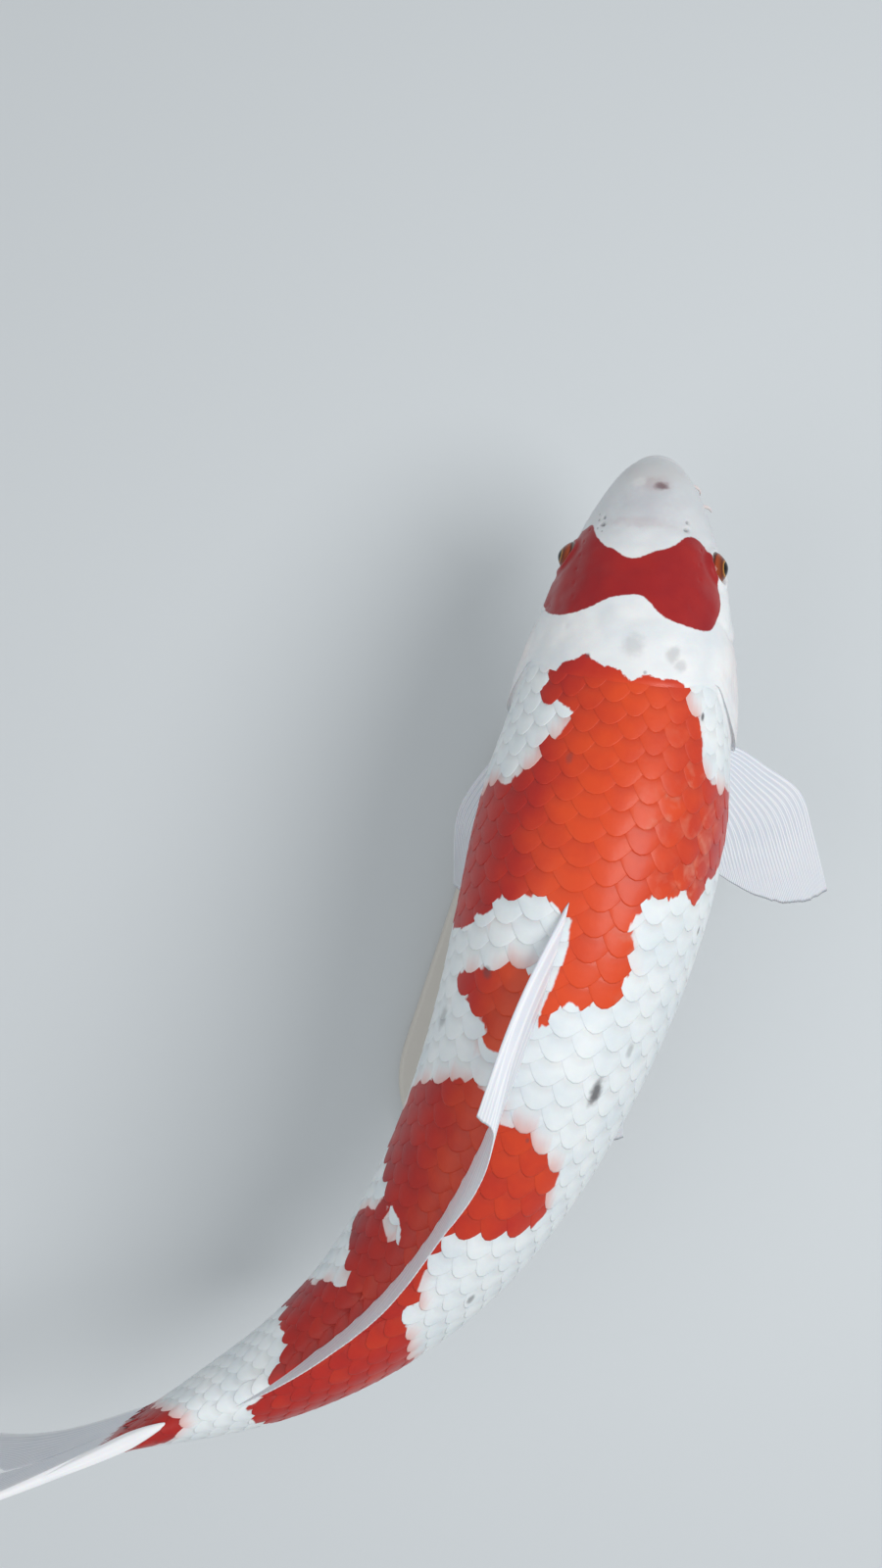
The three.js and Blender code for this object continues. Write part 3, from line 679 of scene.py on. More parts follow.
def sense_pores(x, s):
    """Rows of pits over and under the eye, along the cheek and down the jaw."""
    pits = [hump(np.hypot(x - pore_x, np.abs(s) - pore_s), 0.75) for pore_x, pore_s in SENSE_PORES]
    return -0.5 * sum(pits)


def eye_sockets(points):
    """A rim of skin that turns in under each eyeball, and a soft furrow outside it."""
    height = 0
    for side, axis in EYE_AXIS.items():
        reach = points - [EYE["x"], side * EYE["y"], EYE["z"]]
        ahead = reach @ axis
        away = np.linalg.norm(reach - ahead[:, None] * axis, axis=1)
        here = (np.sign(points[:, 1]) == side) & (ahead > 0)
        rim = 1.1 * hump(away - 8.9, 1.5) - 0.35 * hump(away - 13, 2.4)
        height = height + here * (rim - 6.0 * ease((7.9 - away) / 3.2))
    return height


def nostrils(x, s):
    """On each side a round opening and a crescent behind it, with a flap of skin between them."""
    ahead, beside = x - NOSTRIL["x"], np.abs(s) - NOSTRIL["out"]
    opening = hump(np.hypot(ahead, beside), 1.0)
    crescent = hump(np.hypot((ahead - 4.4) / 1.25, beside / 1.9), 0.9)
    flap = hump(ahead - 2.3 - 0.10 * beside ** 2, 0.8) * hump(beside, 2.1)
    return 0.7 * flap - 1.2 * opening - 1.6 * crescent


def mouth(points, normals, x):
    """Two round lips with the slit of the mouth between them and a fold above."""
    near = (x < 48) & (points[:, 2] < 6)
    p, n = points[near], normals[near]
    lips = np.maximum(lip_height(p, n, 0, UPPER_LIP), lip_height(p, n, LIP_STEP, LOWER_LIP))
    lips = soft_max(lips, 0 * lips, 1.3)
    slit = lip_path(LIP_STEP / 2)[0] * [1, 1.24, 1] + [1, 0, -0.3]
    fold = lip_path(-7.5)[0] * [1, 1.25, 1] + [0, 0, -1.5]
    lips -= 3.4 * hump(distance_to(slit, p), 1.15) + 0.9 * hump(distance_to(fold, p), 2.1)
    height = np.zeros(len(points))
    height[near] = lips * ease((46 - x[near]) / 8)
    return height


def chin(points, x):
    """A groove on each side of the jaw, back to the throat."""
    groove = np.abs(np.abs(points[:, 1]) - (8 + 0.1 * points[:, 0]))
    return -0.8 * hump(groove, 2.2) * ease((x - 22) / 16) * ease((100 - x) / 20) * (points[:, 2] < -30)


def head_relief(points, normals, x, g):
    """The height of all the features of the head over the bare body."""
    s, edge = g * half_girth(x), COVER_EDGE(np.abs(g))
    return (bones(x, s, edge) + gill_cover(x, s, g, edge) + sense_pores(x, s) + eye_sockets(points)
            + nostrils(x, s) + mouth(points, normals, x) + chin(points, x))


# Behind the edge: the underside of the cover's free margin, then the shoulder that it lies on.
SHOULDER_DROP = smooth_curve(FOLD[:7] + [134, 155, 176, 190],
                             [0.9, 0.1, -0.5, -1.1, -1.75, -2.1, -2.1, -1.95, -1.0, -0.12, 0])
FOLD_BACK = smooth_curve(FOLD[:8], [0, -0.5, -1.9, -3.0, -3.2, -2.2, -0.8, 0])


FIRST_PUSHED, LAST_PUSHED = 46, 225  # the rings between which the gill cover's edge pushes them
SETTLED = 131.2  # past this ring, the skin lies flat under the cover


def ring_shift(ring):
    """How much of the gill-cover edge's place a ring of the skin follows."""
    return np.where(ring < COVER_RIM, ease((ring - FIRST_PUSHED) / (COVER_RIM - FIRST_PUSHED)),
                    ease((LAST_PUSHED - ring) / (LAST_PUSHED - COVER_RIM)))


STALK_END = 15  # past the body's last section, the stalk closes to an upright edge in the tail fin
STALK_CLOSING = ([0, 0.3, 0.6, 0.85, 1], [1, 0.86, 0.72, 0.474, 0])  # share of the way, width left


def close_stalk(points):
    """Points past the end of the body, drawn in towards the upright edge."""
    share = np.clip((points[..., 0] - BODY) / STALK_END, 0, 1)
    narrow = np.interp(share, *STALK_CLOSING)
    return np.stack([points[..., 0], points[..., 1] * narrow,
                     1 + (points[..., 2] - 1) * (1 - 0.12 * share)], -1)


def skin():
    """The skin's points on the stand, the values that they carry, and their places laid out flat."""
    rows, half = skin_rows(), skin_columns()
    g = np.concatenate([-half[:0:-1], half[:-1]])
    s, g = np.meshgrid(rows, g, indexing="ij")
    edge = COVER_EDGE(np.abs(g))
    x = s + (edge - COVER_RIM) * ring_shift(s)
    lift = cover_lift(np.abs(g))
    points, normals = on_body(x, g), outwards(x, g)
    height = np.zeros(x.shape)
    head = s <= COVER_RIM
    height[head] = head_relief(points[head], normals[head], x[head], g[head])
    sunk = -SCALE_DEPTH * ease((x - edge) / 5)
    height[~head] = (sunk + lift * SHOULDER_DROP(s))[~head]
    points = points + normals * height[..., None]
    points[..., 0] += np.where(head, 0, lift * FOLD_BACK(s))
    plug = []
    for x_end in BODY + STALK_END * np.array(STALK_CLOSING[0][1:]):
        ring = points[-1].copy()
        ring[:, 0] = x_end
        plug.append(close_stalk(ring))
    tip = np.broadcast_to(on_body(0, 0.0), points[:1].shape)
    points = np.concatenate([tip, points, np.array(plug)])
    along = np.concatenate([x[:1] * 0, x, x[-1:] * 0 + np.array(plug)[:, :1, 0]])
    g = np.concatenate([g[:1], g, np.repeat(g[-1:], 4, 0)])
    out = g * half_girth(along)
    values = {
        "red": red_depth(along, out), "warmth_and_painted_light": red_warmth_and_painted_light(along, out), "blush": 0 * along,
        "grey": ease((78 - along) / 45), "along": along, "out": out,
        "lip": hump(distance_to(lip_path(LIP_STEP / 2)[0], points.reshape(-1, 3)), 6).reshape(g.shape),
    }
    seam = np.concatenate([out, -out[:, :1]], axis=1)
    seam_along = np.concatenate([along, along[:, :1]], axis=1)
    return bend(points), values, skin_map(seam_along, seam)


def carry(mesh, values):
    """Stores values on a mesh, one for each vertex, for its material to read."""
    for name, value in values.items():
        made = mesh.attributes.new(name, "FLOAT", "POINT")
        made.data.foreach_set("value", np.ascontiguousarray(value, np.float32).reshape(-1))


def unwrap(mesh, places):
    """Lays a mesh out flat, each vertex at its own place."""
    if not mesh.uv_layers:
        mesh.uv_layers.new()
    mesh.uv_layers.active.name = "OFBake"
    corners = np.empty(len(mesh.loops), int)
    mesh.loops.foreach_get("vertex_index", corners)
    places = places.reshape(-1, 2)[corners].astype(np.float32)
    mesh.uv_layers.active.data.foreach_set("uv", places.reshape(-1))


def grid_piece(name, points, values, flat=None):
    """A grid primitive with its vertices moved to points[row, column], rolled up and its seam merged."""
    points = np.concatenate([points, points[:, :1]], axis=1)
    rows, columns = points.shape[:2]
    piece = fresh(bpy.ops.mesh.primitive_grid_add, x_subdivisions=columns - 1, y_subdivisions=rows - 1,
                  size=1)
    piece.name = name
    piece.data.vertices.foreach_set("co", points.reshape(-1))
    if flat is not None:
        unwrap(piece.data, flat)
    carry(piece.data, {key: np.concatenate([v, v[:, :1]], axis=1) for key, v in values.items()})
    bpy.ops.object.mode_set(mode="EDIT")
    bpy.ops.mesh.select_all(action="SELECT")
    bpy.ops.mesh.remove_doubles(threshold=2e-6)
    bpy.ops.object.mode_set(mode="OBJECT")
    bpy.ops.object.shade_smooth()
    return piece


skin_points, skin_values, skin_unwrap = skin()
koi_skin = grid_piece("koi_skin", skin_points, skin_values, skin_unwrap)

SKIN_TONES = [  # along, out from the ridge, half length, half height, strength, colour
    (20.5, 3, 4.5, 8, 0.4, "#B79A9C"), (21.6, 5.8, 2.3, 3.6, 0.85, "#6B4449"),
    (19.5, -5.5, 3, 3.6, 0.55, "#EEF0F0"), (33, 0, 12, 15, 0.3, "#B9B7C0"),
    (44, 0, 3, 17, 0.22, "#B59A9A"), (12, 0, 8, 22, 0.25, "#BDB4AE"),
]
SIDE_TONES = [  # the same, once for each side
    (112, 84, 24, 22, 0.2, "#E6C2BA"), (140, 112, 8, 26, 0.22, "#DFA9A0"),
    (62, 68, 16, 6, 0.18, "#D8C6C2"),
]
SKIN_TONES += [(x, side * out, *rest) for x, out, *rest in SIDE_TONES for side in (1, -1)]

# One skin over the living fish: a thin clear slime over satin skin that lets light in a little. Blood
# shows through the lips, and the snout, cheeks and gill covers each have a faint tone of their own.
wet_skin, shader, add = new_material("wet koi skin")
lip = add("Attribute", output="Fac", attribute_name="lip")
blood = add("Math", {0: lip, 1: 0.4}, operation="MULTIPLY")
colour = add("Mix", {0: blood, 6: add_markings(add), 7: linear("#D9A9A4")})
spot = spot_maker(add)
for *place, tone in SKIN_TONES:
    colour = add("Mix", {0: spot(*place), 6: colour, 7: linear(tone)})
set_inputs(shader, WET | {"Base Color": colour, "Normal": grain(add, 700, 3, 0.12, 0.0004)})
finish_piece(koi_skin, wet_skin, "skin_white_and_red", "head", "upper_lip", "lower_jaw",
             "gill_cover_right", "gill_cover_left", "trunk_front", "trunk_middle", "trunk_rear",
             "tail_stalk")

# --- Eyes -----------------------------------------------------------------------------------------
# Two eyeballs with a flat iris behind a clear bulging cornea. Each sits in its socket, and the rim
# of skin round it holds it in place.

CORNEA = {"reach": 7.6, "bulge": 1.0}
IRIS = [  # share of 10 mm from the middle of the pupil, and the colour there
    (0, "#020203"), (0.355, "#040304"), (0.375, "#C99A48"), (0.41, "#9A5C28"), (0.48, "#5E2A16"),
    (0.62, "#8E3F1E"), (0.74, "#A3431F"), (0.81, "#4A221A"), (0.92, "#A8A39C"),
]

# Wet eyeball: black pupil with a gold ring, orange-brown iris, dark margin, pale white of the eye.
eyeball, shader, add = new_material("wet eyeball")
reach = add("Attribute", output="Fac", attribute_name="reach")
fleck = add("TexNoise", {"Vector": add("TexCoord", output="Object"), "Scale": 650, "Detail": 3})
wander = add("Math", {0: fleck, 1: 0.5, 2: -0.25}, operation="MULTIPLY_ADD")
ragged = add("Math", {0: reach, 1: wander}, operation="ADD")
rings = add("ValToRGB", {0: add("MapRange", {0: ragged, 2: 10})})
set_ramp(rings, IRIS)
set_inputs(shader, {"Base Color": rings, "Roughness": 0.3, "IOR": 1.1, "Coat Weight": 1,
                    "Coat Roughness": 0.02, "Coat IOR": 1.36})

for side, label in [(1, "right"), (-1, "left")]:
    eye = fresh(bpy.ops.mesh.primitive_uv_sphere_add, segments=72, ring_count=48, radius=EYE["radius"])
    eye.name = f"eye_ball_{label}"
    ball = np.empty(len(eye.data.vertices) * 3)
    eye.data.vertices.foreach_get("co", ball)
    ball = ball.reshape(-1, 3)
    away = np.hypot(ball[:, 0], ball[:, 1])
    front = ball[:, 2] > 0
    ball[:, 2] = ball[:, 2] * EYE["flat"] + front * CORNEA["bulge"] * ease(1 - away / CORNEA["reach"])
    axis = EYE_AXIS[side]
    level = unit(np.cross(axis, [0, 0, 1]))
    axes = np.array([level, np.cross(axis, level), axis])
    placed = (ball + [0, 0, EYE["out"]]) @ axes + [EYE["x"], side * EYE["y"], EYE["z"]]
    eye.data.vertices.foreach_set("co", bend(placed).reshape(-1))
    carry(eye.data, {"reach": np.where(front, away, 2 * EYE["radius"] - away)})
    bpy.ops.object.mode_set(mode="EDIT")
    bpy.ops.mesh.select_all(action="SELECT")
    bpy.ops.mesh.normals_make_consistent(inside=False)
    bpy.ops.object.mode_set(mode="OBJECT")
    bpy.ops.object.shade_smooth()
    finish_piece(eye, eyeball, "eye", f"eye_{label}")

# --- Barbels --------------------------------------------------------------------------------------
# Four soft feelers that taper to a blunt tip: a short pair above the lip and a longer pair at the
# corners of the mouth. Each grows out of the lip.

BARBELS = {  # root, tip and radius on the right; the left ones mirror them
    "front": ((13, 17, -19), (15, 24, -33), 1.0),
    "corner": ((22, 21, -28), (21, 30.5, -46), 1.3),
}

# Barbel skin: the same wet skin as the lips, without scales, a little pinker towards the root.
feeler_skin, shader, add = new_material("wet barbel skin")
out = add("Attribute", output="Fac", attribute_name="out")
tone = add("Mix", {0: out, 6: linear("#DDCBC9"), 7: linear("#E9E6E4")})
set_inputs(shader, WET | {"Base Color": tone})


def tube(path, radius, sides, level, flat=1):
    """Rings of points round a path, as wide as `radius` square to `level` and `flat` of that deep."""
    forward = unit(np.gradient(path, axis=0))
    across = unit(np.cross(forward, level))
    up = np.cross(across, forward)
    angle = np.linspace(0, 2 * np.pi, sides, endpoint=False)[:, None]
    ring = np.cos(angle) * across[:, None] + flat * np.sin(angle) * up[:, None]
    return path[:, None] + radius[..., None] * ring


for place, (root, tip, radius) in BARBELS.items():
    for side, label in [(1, "right"), (-1, "left")]:
        a, c = np.array(root, float), np.array(tip, float)
        b = (a + c) / 2 + [-1, 2.2, 1]
        t = np.concatenate([np.linspace(-0.12, 0.97, 26), [0.985, 0.995, 1]])[:, None]
        path = a * (1 - t) * (1 - 2 * t) + 4 * b * t * (1 - t) + c * t * (2 * t - 1)
        thick = radius * (1 - 0.55 * t) * np.sqrt(np.clip((1 - t) / 0.04, 0, 1))
        thick *= 1 + 0.5 * ease((0.12 - t) / 0.24)
        thick[0] = 0
        ring = tube(path, thick, 14, [1, 0, 0])
        ring[..., 1] *= side
        feeler = grid_piece(f"barbel_{place}_{label}_skin", bend(ring),
                            {"out": np.broadcast_to(t, ring.shape[:2])})
        finish_piece(feeler, feeler_skin, "lip_skin", f"barbel_{place}_{label}")

# --- Scales ---------------------------------------------------------------------------------------
# Large round scales in rows along the body, each rooted in the skin and lying over the next ones
# behind it like tiles. A row of scales with pores runs along each side as the lateral line.

PITCH = smooth_curve([125, 200, 350, 480, 625], [10.9, 11.9, 12.5, 11.0, 9.6])
LATERAL_LINE = smooth_curve([120, 160, 220, 300, 620], [0.40, 0.43, 0.475, 0.5, 0.5])
ROWS_ABOVE = smooth_curve([120, 430, 520, 600, 640], [8, 8, 7, 6, 6])
ROWS_BELOW = smooth_curve([120, 380, 600, 640], [9, 9, 7, 7])
FIRST_SCALE, LAST_SCALE = 4.5, 629  # from behind the end of the head to here along the fish
NARROWEST = 0.55  # a row ends where less of it than this is left
PATCH = 0.003  # the size of one scale's place, laid out flat
SCALE = {"half_width": 0.69, "ridge_half_width": 0.8, "length": 1.8, "round": 0.75, "root_round": 0.22,
         "rise": 0.5, "root": 0.08, "dome": 0.04, "tip_drop": 0.07, "ridge_rise": 0.05, "uneven": 0.03,
         "thick": 0.15}


def skin_level(x, g):
    """The height of the skin under the scales over the bare body."""
    edge = COVER_EDGE(np.abs(g))
    ring = x
    # How far a ring is pushed depends on the ring, and six rounds settle it.
    for _ in range(6):
        ring = np.maximum(x - (edge - COVER_RIM) * ring_shift(np.maximum(ring, COVER_RIM)), SETTLED)
    return -SCALE_DEPTH + cover_lift(np.abs(g)) * SHOULDER_DROP(ring)


def scale_row(steps, offset, above):
    """A row's rear tips along the fish, the half girth and the lateral line there, and the spacing and
    number of the rows above or below that line."""
    x = np.interp(np.arange(len(steps) - 1) + offset, np.arange(len(steps)), steps)
    girth = half_girth(x)
    line = LATERAL_LINE(x) * girth
    count = ROWS_ABOVE(x) if above else ROWS_BELOW(x)
    return x, girth, line, (line if above else girth - line) / count, count


def scale_places():
    """Every scale: its rear tip along the fish and out from the ridge, the spacing of its rows, whether
    it has a pore, and whether it lies along the middle of the back or the belly."""
    steps = [118.0]
    while steps[-1] < LAST_SCALE + 20:
        steps.append(steps[-1] + float(PITCH(steps[-1])))
    found = []
    for row in range(-8, 10):
        x, girth, line, spacing, count = scale_row(steps, 0.5 * (row % 2), row <= 0)
        keep = (count - abs(row) > NARROWEST) & (x < LAST_SCALE)
        for side in (1, -1):
            out = side * (line + row * spacing)
            found.append(np.stack([x, out, spacing, 0 * x + (row == 0), 0 * x], -1)[keep])
    for belly, offset in [(0, 0), (1, 0.5)]:
        x, girth, line, spacing, count = scale_row(steps, offset, belly == 0)
        found.append(np.stack([x, belly * girth, spacing, 0 * x, 0 * x + 1], -1)[x < LAST_SCALE])
    found = np.concatenate(found)
    edge = COVER_EDGE(np.abs(found[:, 1]) / half_girth(found[:, 0]))
    return found[found[:, 0] > edge + FIRST_SCALE]


def plate_net(rows, columns):
    """A plate's faces, and the rows and columns of its rim, which runs once round the plate: along its
    root, down one side, along its tip and back."""
    rim = [(0, c) for c in range(columns)] + [(r, columns - 1) for r in range(1, rows)]
    rim += [(rows - 1, c) for c in range(columns - 2, -1, -1)] + [(r, 0) for r in range(rows - 2, 0, -1)]
    count = rows * columns
    faces = []
    for r in range(rows - 1):
        for corner in range(r * columns, (r + 1) * columns - 1):
            faces.append([corner, corner + 1, corner + columns + 1, corner + columns])
    loop = [r * columns + c for r, c in rim]
    for i in range(len(rim)):
        j = (i + 1) % len(rim)
        faces.append([loop[j], loop[i], count + i, count + j])
    faces.append([count + i for i in range(len(rim))])
    return faces, np.array(rim).T


def scales(places):
    """All the scales: their corners, one scale's faces, the values they carry and their flat places."""
    tip, out, spacing, pored, median = places.T[:, :, None, None]
    share = np.array([0, 0.5, 0.965, 1])[None, :, None]
    across = np.sin(np.linspace(-np.pi / 2, np.pi / 2, 11))[None, None, :]
    pitch = PITCH(tip)
    half = spacing * np.where(median > 0, SCALE["ridge_half_width"], SCALE["half_width"])
    half = half * (0.8 + 0.2 * ease(share / 0.5))
    length = SCALE["length"] * pitch
    rear = tip - SCALE["round"] * pitch * across ** 2
    front = tip - length + SCALE["root_round"] * pitch * across ** 2
    x, s = np.broadcast_arrays(front + (rear - front) * share, out + half * across)
    girth = half_girth(x)
    g = round_the_belly(s / girth)
    wobble = np.random.default_rng(5).random((len(places), 1, 1, 2))
    risen = (x - tip) / length + 1
    lift = SCALE["root"] + (SCALE["rise"] - SCALE["root"]) * risen
    lift = lift + SCALE["dome"] * (1 - across ** 2) * share - SCALE["tip_drop"] * (share == 1)
    lift = lift + SCALE["ridge_rise"] * median + SCALE["uneven"] * (wobble[..., 0] - 0.5) * share
    lift = lift + skin_level(x, g)
    surface, outward = on_body(x, g), outwards(x, g)
    points = close_stalk(surface + outward * lift[..., None])
    under = close_stalk(surface + outward * (lift - SCALE["thick"])[..., None])
    faces, rim = plate_net(share.size, across.size)

    def with_rim(top, low):
        """What is on top of each plate, and then what is under it along its rim."""
        top = top.reshape(len(places), share.size * across.size, *top.shape[3:])
        return np.concatenate([top, low[:, rim[0], rim[1]]], axis=1)

    # A scale takes the colour at its middle, with a little of its own on it, and is flushed by red
    # that starts behind it.
    centre_x, centre_out = (tip - 0.45 * pitch)[:, 0, 0], out[:, 0, 0]
    centre = red_depth(centre_x, centre_out)[:, None, None]
    behind = red_depth(centre_x + 5, centre_out)[:, None, None]
    spread = s - 2 * girth * np.round(s / (2 * girth))
    own = red_depth(x, spread)
    values = {
        "red": np.clip(own, -4, 4) + np.clip(1.2 * centre, -3.2, 3.2), "warmth_and_painted_light": red_warmth_and_painted_light(x, spread),
        "along": x, "out": spread, "blush": 0.85 * ease((own + 6) / 6) * ease((behind - centre) / 4),
        "reach": share, "side": across, "shade": wobble[..., 1] - 0.5, "pored": pored,
    }
    values = {key: with_rim(value + 0 * x, value + 0 * x) for key, value in values.items()}
    patch = np.stack([share - 0.5 + 0 * x, across / 2 + 0 * x], -1) * PATCH
    patch = patch + skin_map((tip - length)[:, 0, 0], centre_out)[:, None, None]
    return with_rim(points, under), faces, values, with_rim(patch, patch)


scale_list = scale_places()
corners, plate_faces, values, patch = scales(scale_list)


def scale_mesh(name, chosen):
    """One joined mesh of the chosen scales."""
    mesh = bpy.data.meshes.new(name)
    placed = bend(corners[chosen]).reshape(-1, 3)
    starts = range(0, len(placed), corners.shape[1])
    faces = [[start + corner for corner in face] for start in starts for face in plate_faces]
    mesh.from_pydata(placed.tolist(), [], faces)
    carry(mesh, {key: value[chosen] for key, value in values.items()})
    unwrap(mesh, patch[chosen])
    mesh.shade_smooth()
    piece = bpy.data.objects.new(name, mesh)
    bpy.context.collection.objects.link(piece)
    return piece


# Scale: clear bone plates over pigment, wet. Each has a painted shadow at its root, where the one before
# covers it, and the scales of the lateral line have a pore with a short canal behind it.
scale_finish, shader, add = new_material("wet koi scale")
reach, side, pored = (add("Attribute", output="Fac", attribute_name=name)
                      for name in ("reach", "side", "pored"))
painted_root_shadow = add("MapRange", {0: reach, 1: 0.42, 2: 0.68, 3: 0.12, 4: 0}, interpolation_type="SMOOTHSTEP")
deep = add("Mix", {0: painted_root_shadow, 6: add_markings(add), 7: linear("#3A2F33")})
middle = add("Math", {0: side}, operation="ABSOLUTE")
shown = add("MapRange", {0: middle, 1: 0.05, 2: 0.16, 3: 1, 4: 0})
canal = add("MapRange", {0: reach, 1: 0.70, 2: 0.82})
pore = add("MapRange", {0: reach, 1: 0.90, 2: 0.96, 3: 0.34, 4: 0})
for part in (canal, pore, pored):
    shown = add("Math", {0: shown, 1: part}, operation="MULTIPLY")
marked = add("Mix", {0: shown, 6: deep, 7: linear("#6F6A6E")})
set_inputs(shader, WET | {"Base Color": marked, "Normal": grain(add, 420, 2, 0.15, 0.0005),
                          "Roughness": 0.42, "Coat Weight": 0.12})

for label, chosen in [("right", scale_list[:, 1] > 0), ("left", scale_list[:, 1] <= 0)]:
    finish_piece(scale_mesh(f"scales_{label}", chosen), scale_finish, "scales")

# --- Fins -----------------------------------------------------------------------------------------
# Thin webs stretched over jointed rays that fork on their way out. The rays are bedded in muscle at
# the fin's root, so each fin starts a little inside the body.


def through(points):
    """A curve through given points, from 0 to 1 by even steps of their number."""
    p = np.array(points, float)
    p = np.concatenate([2 * p[:1] - p[1:2], p, 2 * p[-1:] - p[-2:-1]])

    def at(t):
        t = np.asarray(t, float) * (len(points) - 1)
        i = np.clip(np.floor(t).astype(int), 0, len(points) - 2)
        f = (t - i)[..., None]
        return between(p[i], p[i + 1], p[i + 2], p[i + 3], f)

    return at


COLUMNS_PER_RAY = 16
BEDDED = 0.04  # the share of a fin that is inside the body
ROUND_SIDES, ROUND_TIP = 0.012, 0.02  # the shares of a fin over which its edges are rounded off
FORKS = [(0.30, 0.55, 0.25), (0.62, 0.38, 0.125)]  # starts, takes, and parts a ray by this share


def forked_rays(phase, v):
    """How much of a ray there is at each place, from 0 to 1."""
    offset = np.abs(phase - np.floor(phase) - 0.5)
    for starts, takes, apart in FORKS:
        offset = np.abs(offset - apart * ease((v - starts) / takes))
    width = 0.20 - 0.135 * ease(v / 0.9)
    return np.exp(-(offset / width) ** 2 * 1.4)


def worn_edge(u, rays, seed):
    """How the free edge is scalloped from ray to ray and a little worn, as a share of the fin."""
    half_rays = rays * 2
    worn = np.random.default_rng(seed).random(half_rays + 1) - 0.5
    wear = np.interp(u * half_rays, np.arange(half_rays + 1), worn)
    return (0.12 * np.cos(2 * np.pi * u * half_rays) - 0.3 + 1.2 * wear) * np.sqrt(np.sin(np.pi * u))


def fin(name, surface, rays, thickness, rows, ragged=0.007, clear=0.27, tint=None, stout=None):
    """A closed web with forking rays over a surface of (across, out), straight body coordinates. The
    rays past the share `stout` of the way across grow together, and `tint` gives the web some red."""
    u = np.linspace(0, 1, rays * COLUMNS_PER_RAY + 1)
    depth = ragged * worn_edge(u, rays, len(name) + rays)
    out = np.concatenate([[-BEDDED], np.linspace(0, 1, rows) ** 0.9])
    v, u = np.meshgrid(out, u, indexing="ij")
    reach = np.where(v > 0, v * (1 + depth[None] * ease((v - 0.5) / 0.5)), v)
    mid = surface(u, reach)
    du, dv = 0.004, 0.01
    along = surface(np.minimum(u + du, 1), reach) - surface(np.maximum(u - du, 0), reach)
    outward = surface(u, reach + dv) - surface(u, reach - dv)
    normal = unit(np.cross(along, outward))
    web, proud = thickness(v)
    ray = forked_rays(u * rays, v)
    see_through = clear * ease((v - 0.1) / 0.9) * (1 - ray)
    if stout is not None:
        edge_rays = ease((u - stout) / (1 - stout))
        ray = np.maximum(ray, edge_rays)
        see_through = see_through * (1 - edge_rays)
        web = web + 2.2 * ease((u - 0.86) / 0.1) * np.clip(1 - v, 0, 1)
        web = web * (1 - 0.65 * ease((u - 0.7) / 0.25) * (1 - ease((v + BEDDED) / 0.18)))
    # Both sides and the free edge are rounded off, and the web closes inside the body.
    sides = np.sqrt(1 - (1 - np.clip(np.minimum(u, 1 - u) / ROUND_SIDES, 0, 1)) ** 2)
    tip = np.sqrt(1 - (1 - np.clip((1 - v) / ROUND_TIP, 0, 1)) ** 2)
    half = (web / 2 + proud * ray) * sides * tip
    half[0] = 0
    face = mid + normal * half[..., None]
    back = mid - normal * half[..., None]
    points = np.concatenate([face, back[:, ::-1]], axis=1)
    ray, out, see_through = (np.concatenate([w, w[:, ::-1]], axis=1) for w in (ray, v, see_through))
    values = {"ray": ray, "clear": 0.03 + see_through, "tint": tint(points, out) if tint else 0 * out}
    return grid_piece(name, bend(points), values)


# Fin: a clear web, milky where it is thick, over pale bony rays. It is wet, but duller than the skin.
web_and_rays, shader, add = new_material("fin web and rays")
ray, clear, red = (add("Attribute", output="Fac", attribute_name=name)
                   for name in ("ray", "clear", "tint"))
cloud = add("TexNoise", {"Vector": add("TexCoord", output="Object"), "Scale": 60, "Detail": 3})
web = add("Mix", {0: cloud, 6: linear("#D8DEE9"), 7: linear("#E8EBF1")})
boned = add("Mix", {0: ray, 6: web, 7: linear("#F2F3F6")})
stain = add("MapRange", {0: red, 1: 0.3, 2: 0.6})
tinted = add("Mix", {0: stain, 6: boned, 7: linear("#A8332A")})
solid = add("Math", {0: 1, 1: clear}, operation="SUBTRACT")
set_inputs(shader, WET | {"Base Color": tinted, "Alpha": solid, "Normal": grain(add, 900, 2, 0.2, 0.0003),
                          "Roughness": 0.45, "Coat Weight": 0.12})

DORSAL = {"from": 240, "long": 275}
dorsal_length = smooth_curve([0, 0.1, 0.3, 0.6, 1], [108, 88, 78, 62, 42])
dorsal_rake = smooth_curve([0, 0.15, 0.5, 1], np.radians([72, 67, 68, 78]))
dorsal_lean = smooth_curve([0, 0.1, 0.2, 0.38, 0.55, 0.75, 1], [-5, 6, 9, 5, 4.5, 2, 1])
dorsal_bow = smooth_curve([0, 0.15, 0.35, 1], [5, 3.2, 0, 0])


def dorsal_surface(u, v):
    """The dorsal fin, u from its front to its rear: raked back, leaning and a little bowed."""
    root = DORSAL["from"] + DORSAL["long"] * u
    reach = dorsal_length(u) * v
    rake = dorsal_rake(u)
    high = look_up(table_z, root, 0 * root) + 0.4
    side = dorsal_lean(u) * v - dorsal_bow(u) * np.sin(np.pi * v)
    return np.stack([root + reach * np.sin(rake), side, high + reach * np.cos(rake)], -1)


def fan_surface(leading, trailing, bulge):
    """A fin between a leading and a trailing edge, bulging outwards between them."""
    one, two = through(leading), through(trailing)
    far_one = np.array(leading[-1], float) - leading[0]
    far_two = np.array(trailing[-1], float) - trailing[0]

    def at(u, v):
        u, v = np.broadcast_arrays(np.asarray(u, float), np.asarray(v, float))
        w = u[..., None]
        outward = unit(far_one * (1 - w) + far_two * w)
        return (one(v) * (1 - w) + two(v) * w
                + outward * (bulge * v * np.abs(v) * np.sin(np.pi * u))[..., None])

    return at


LOBE = {"root": 620.3, "inner": 1.5, "outer": 28, "high": 34}  # in between, its rays' angles in degrees
tail_ray = smooth_curve([0, 0.3, 0.6, 0.85, 1], [74, 90, 114, 127, 121])


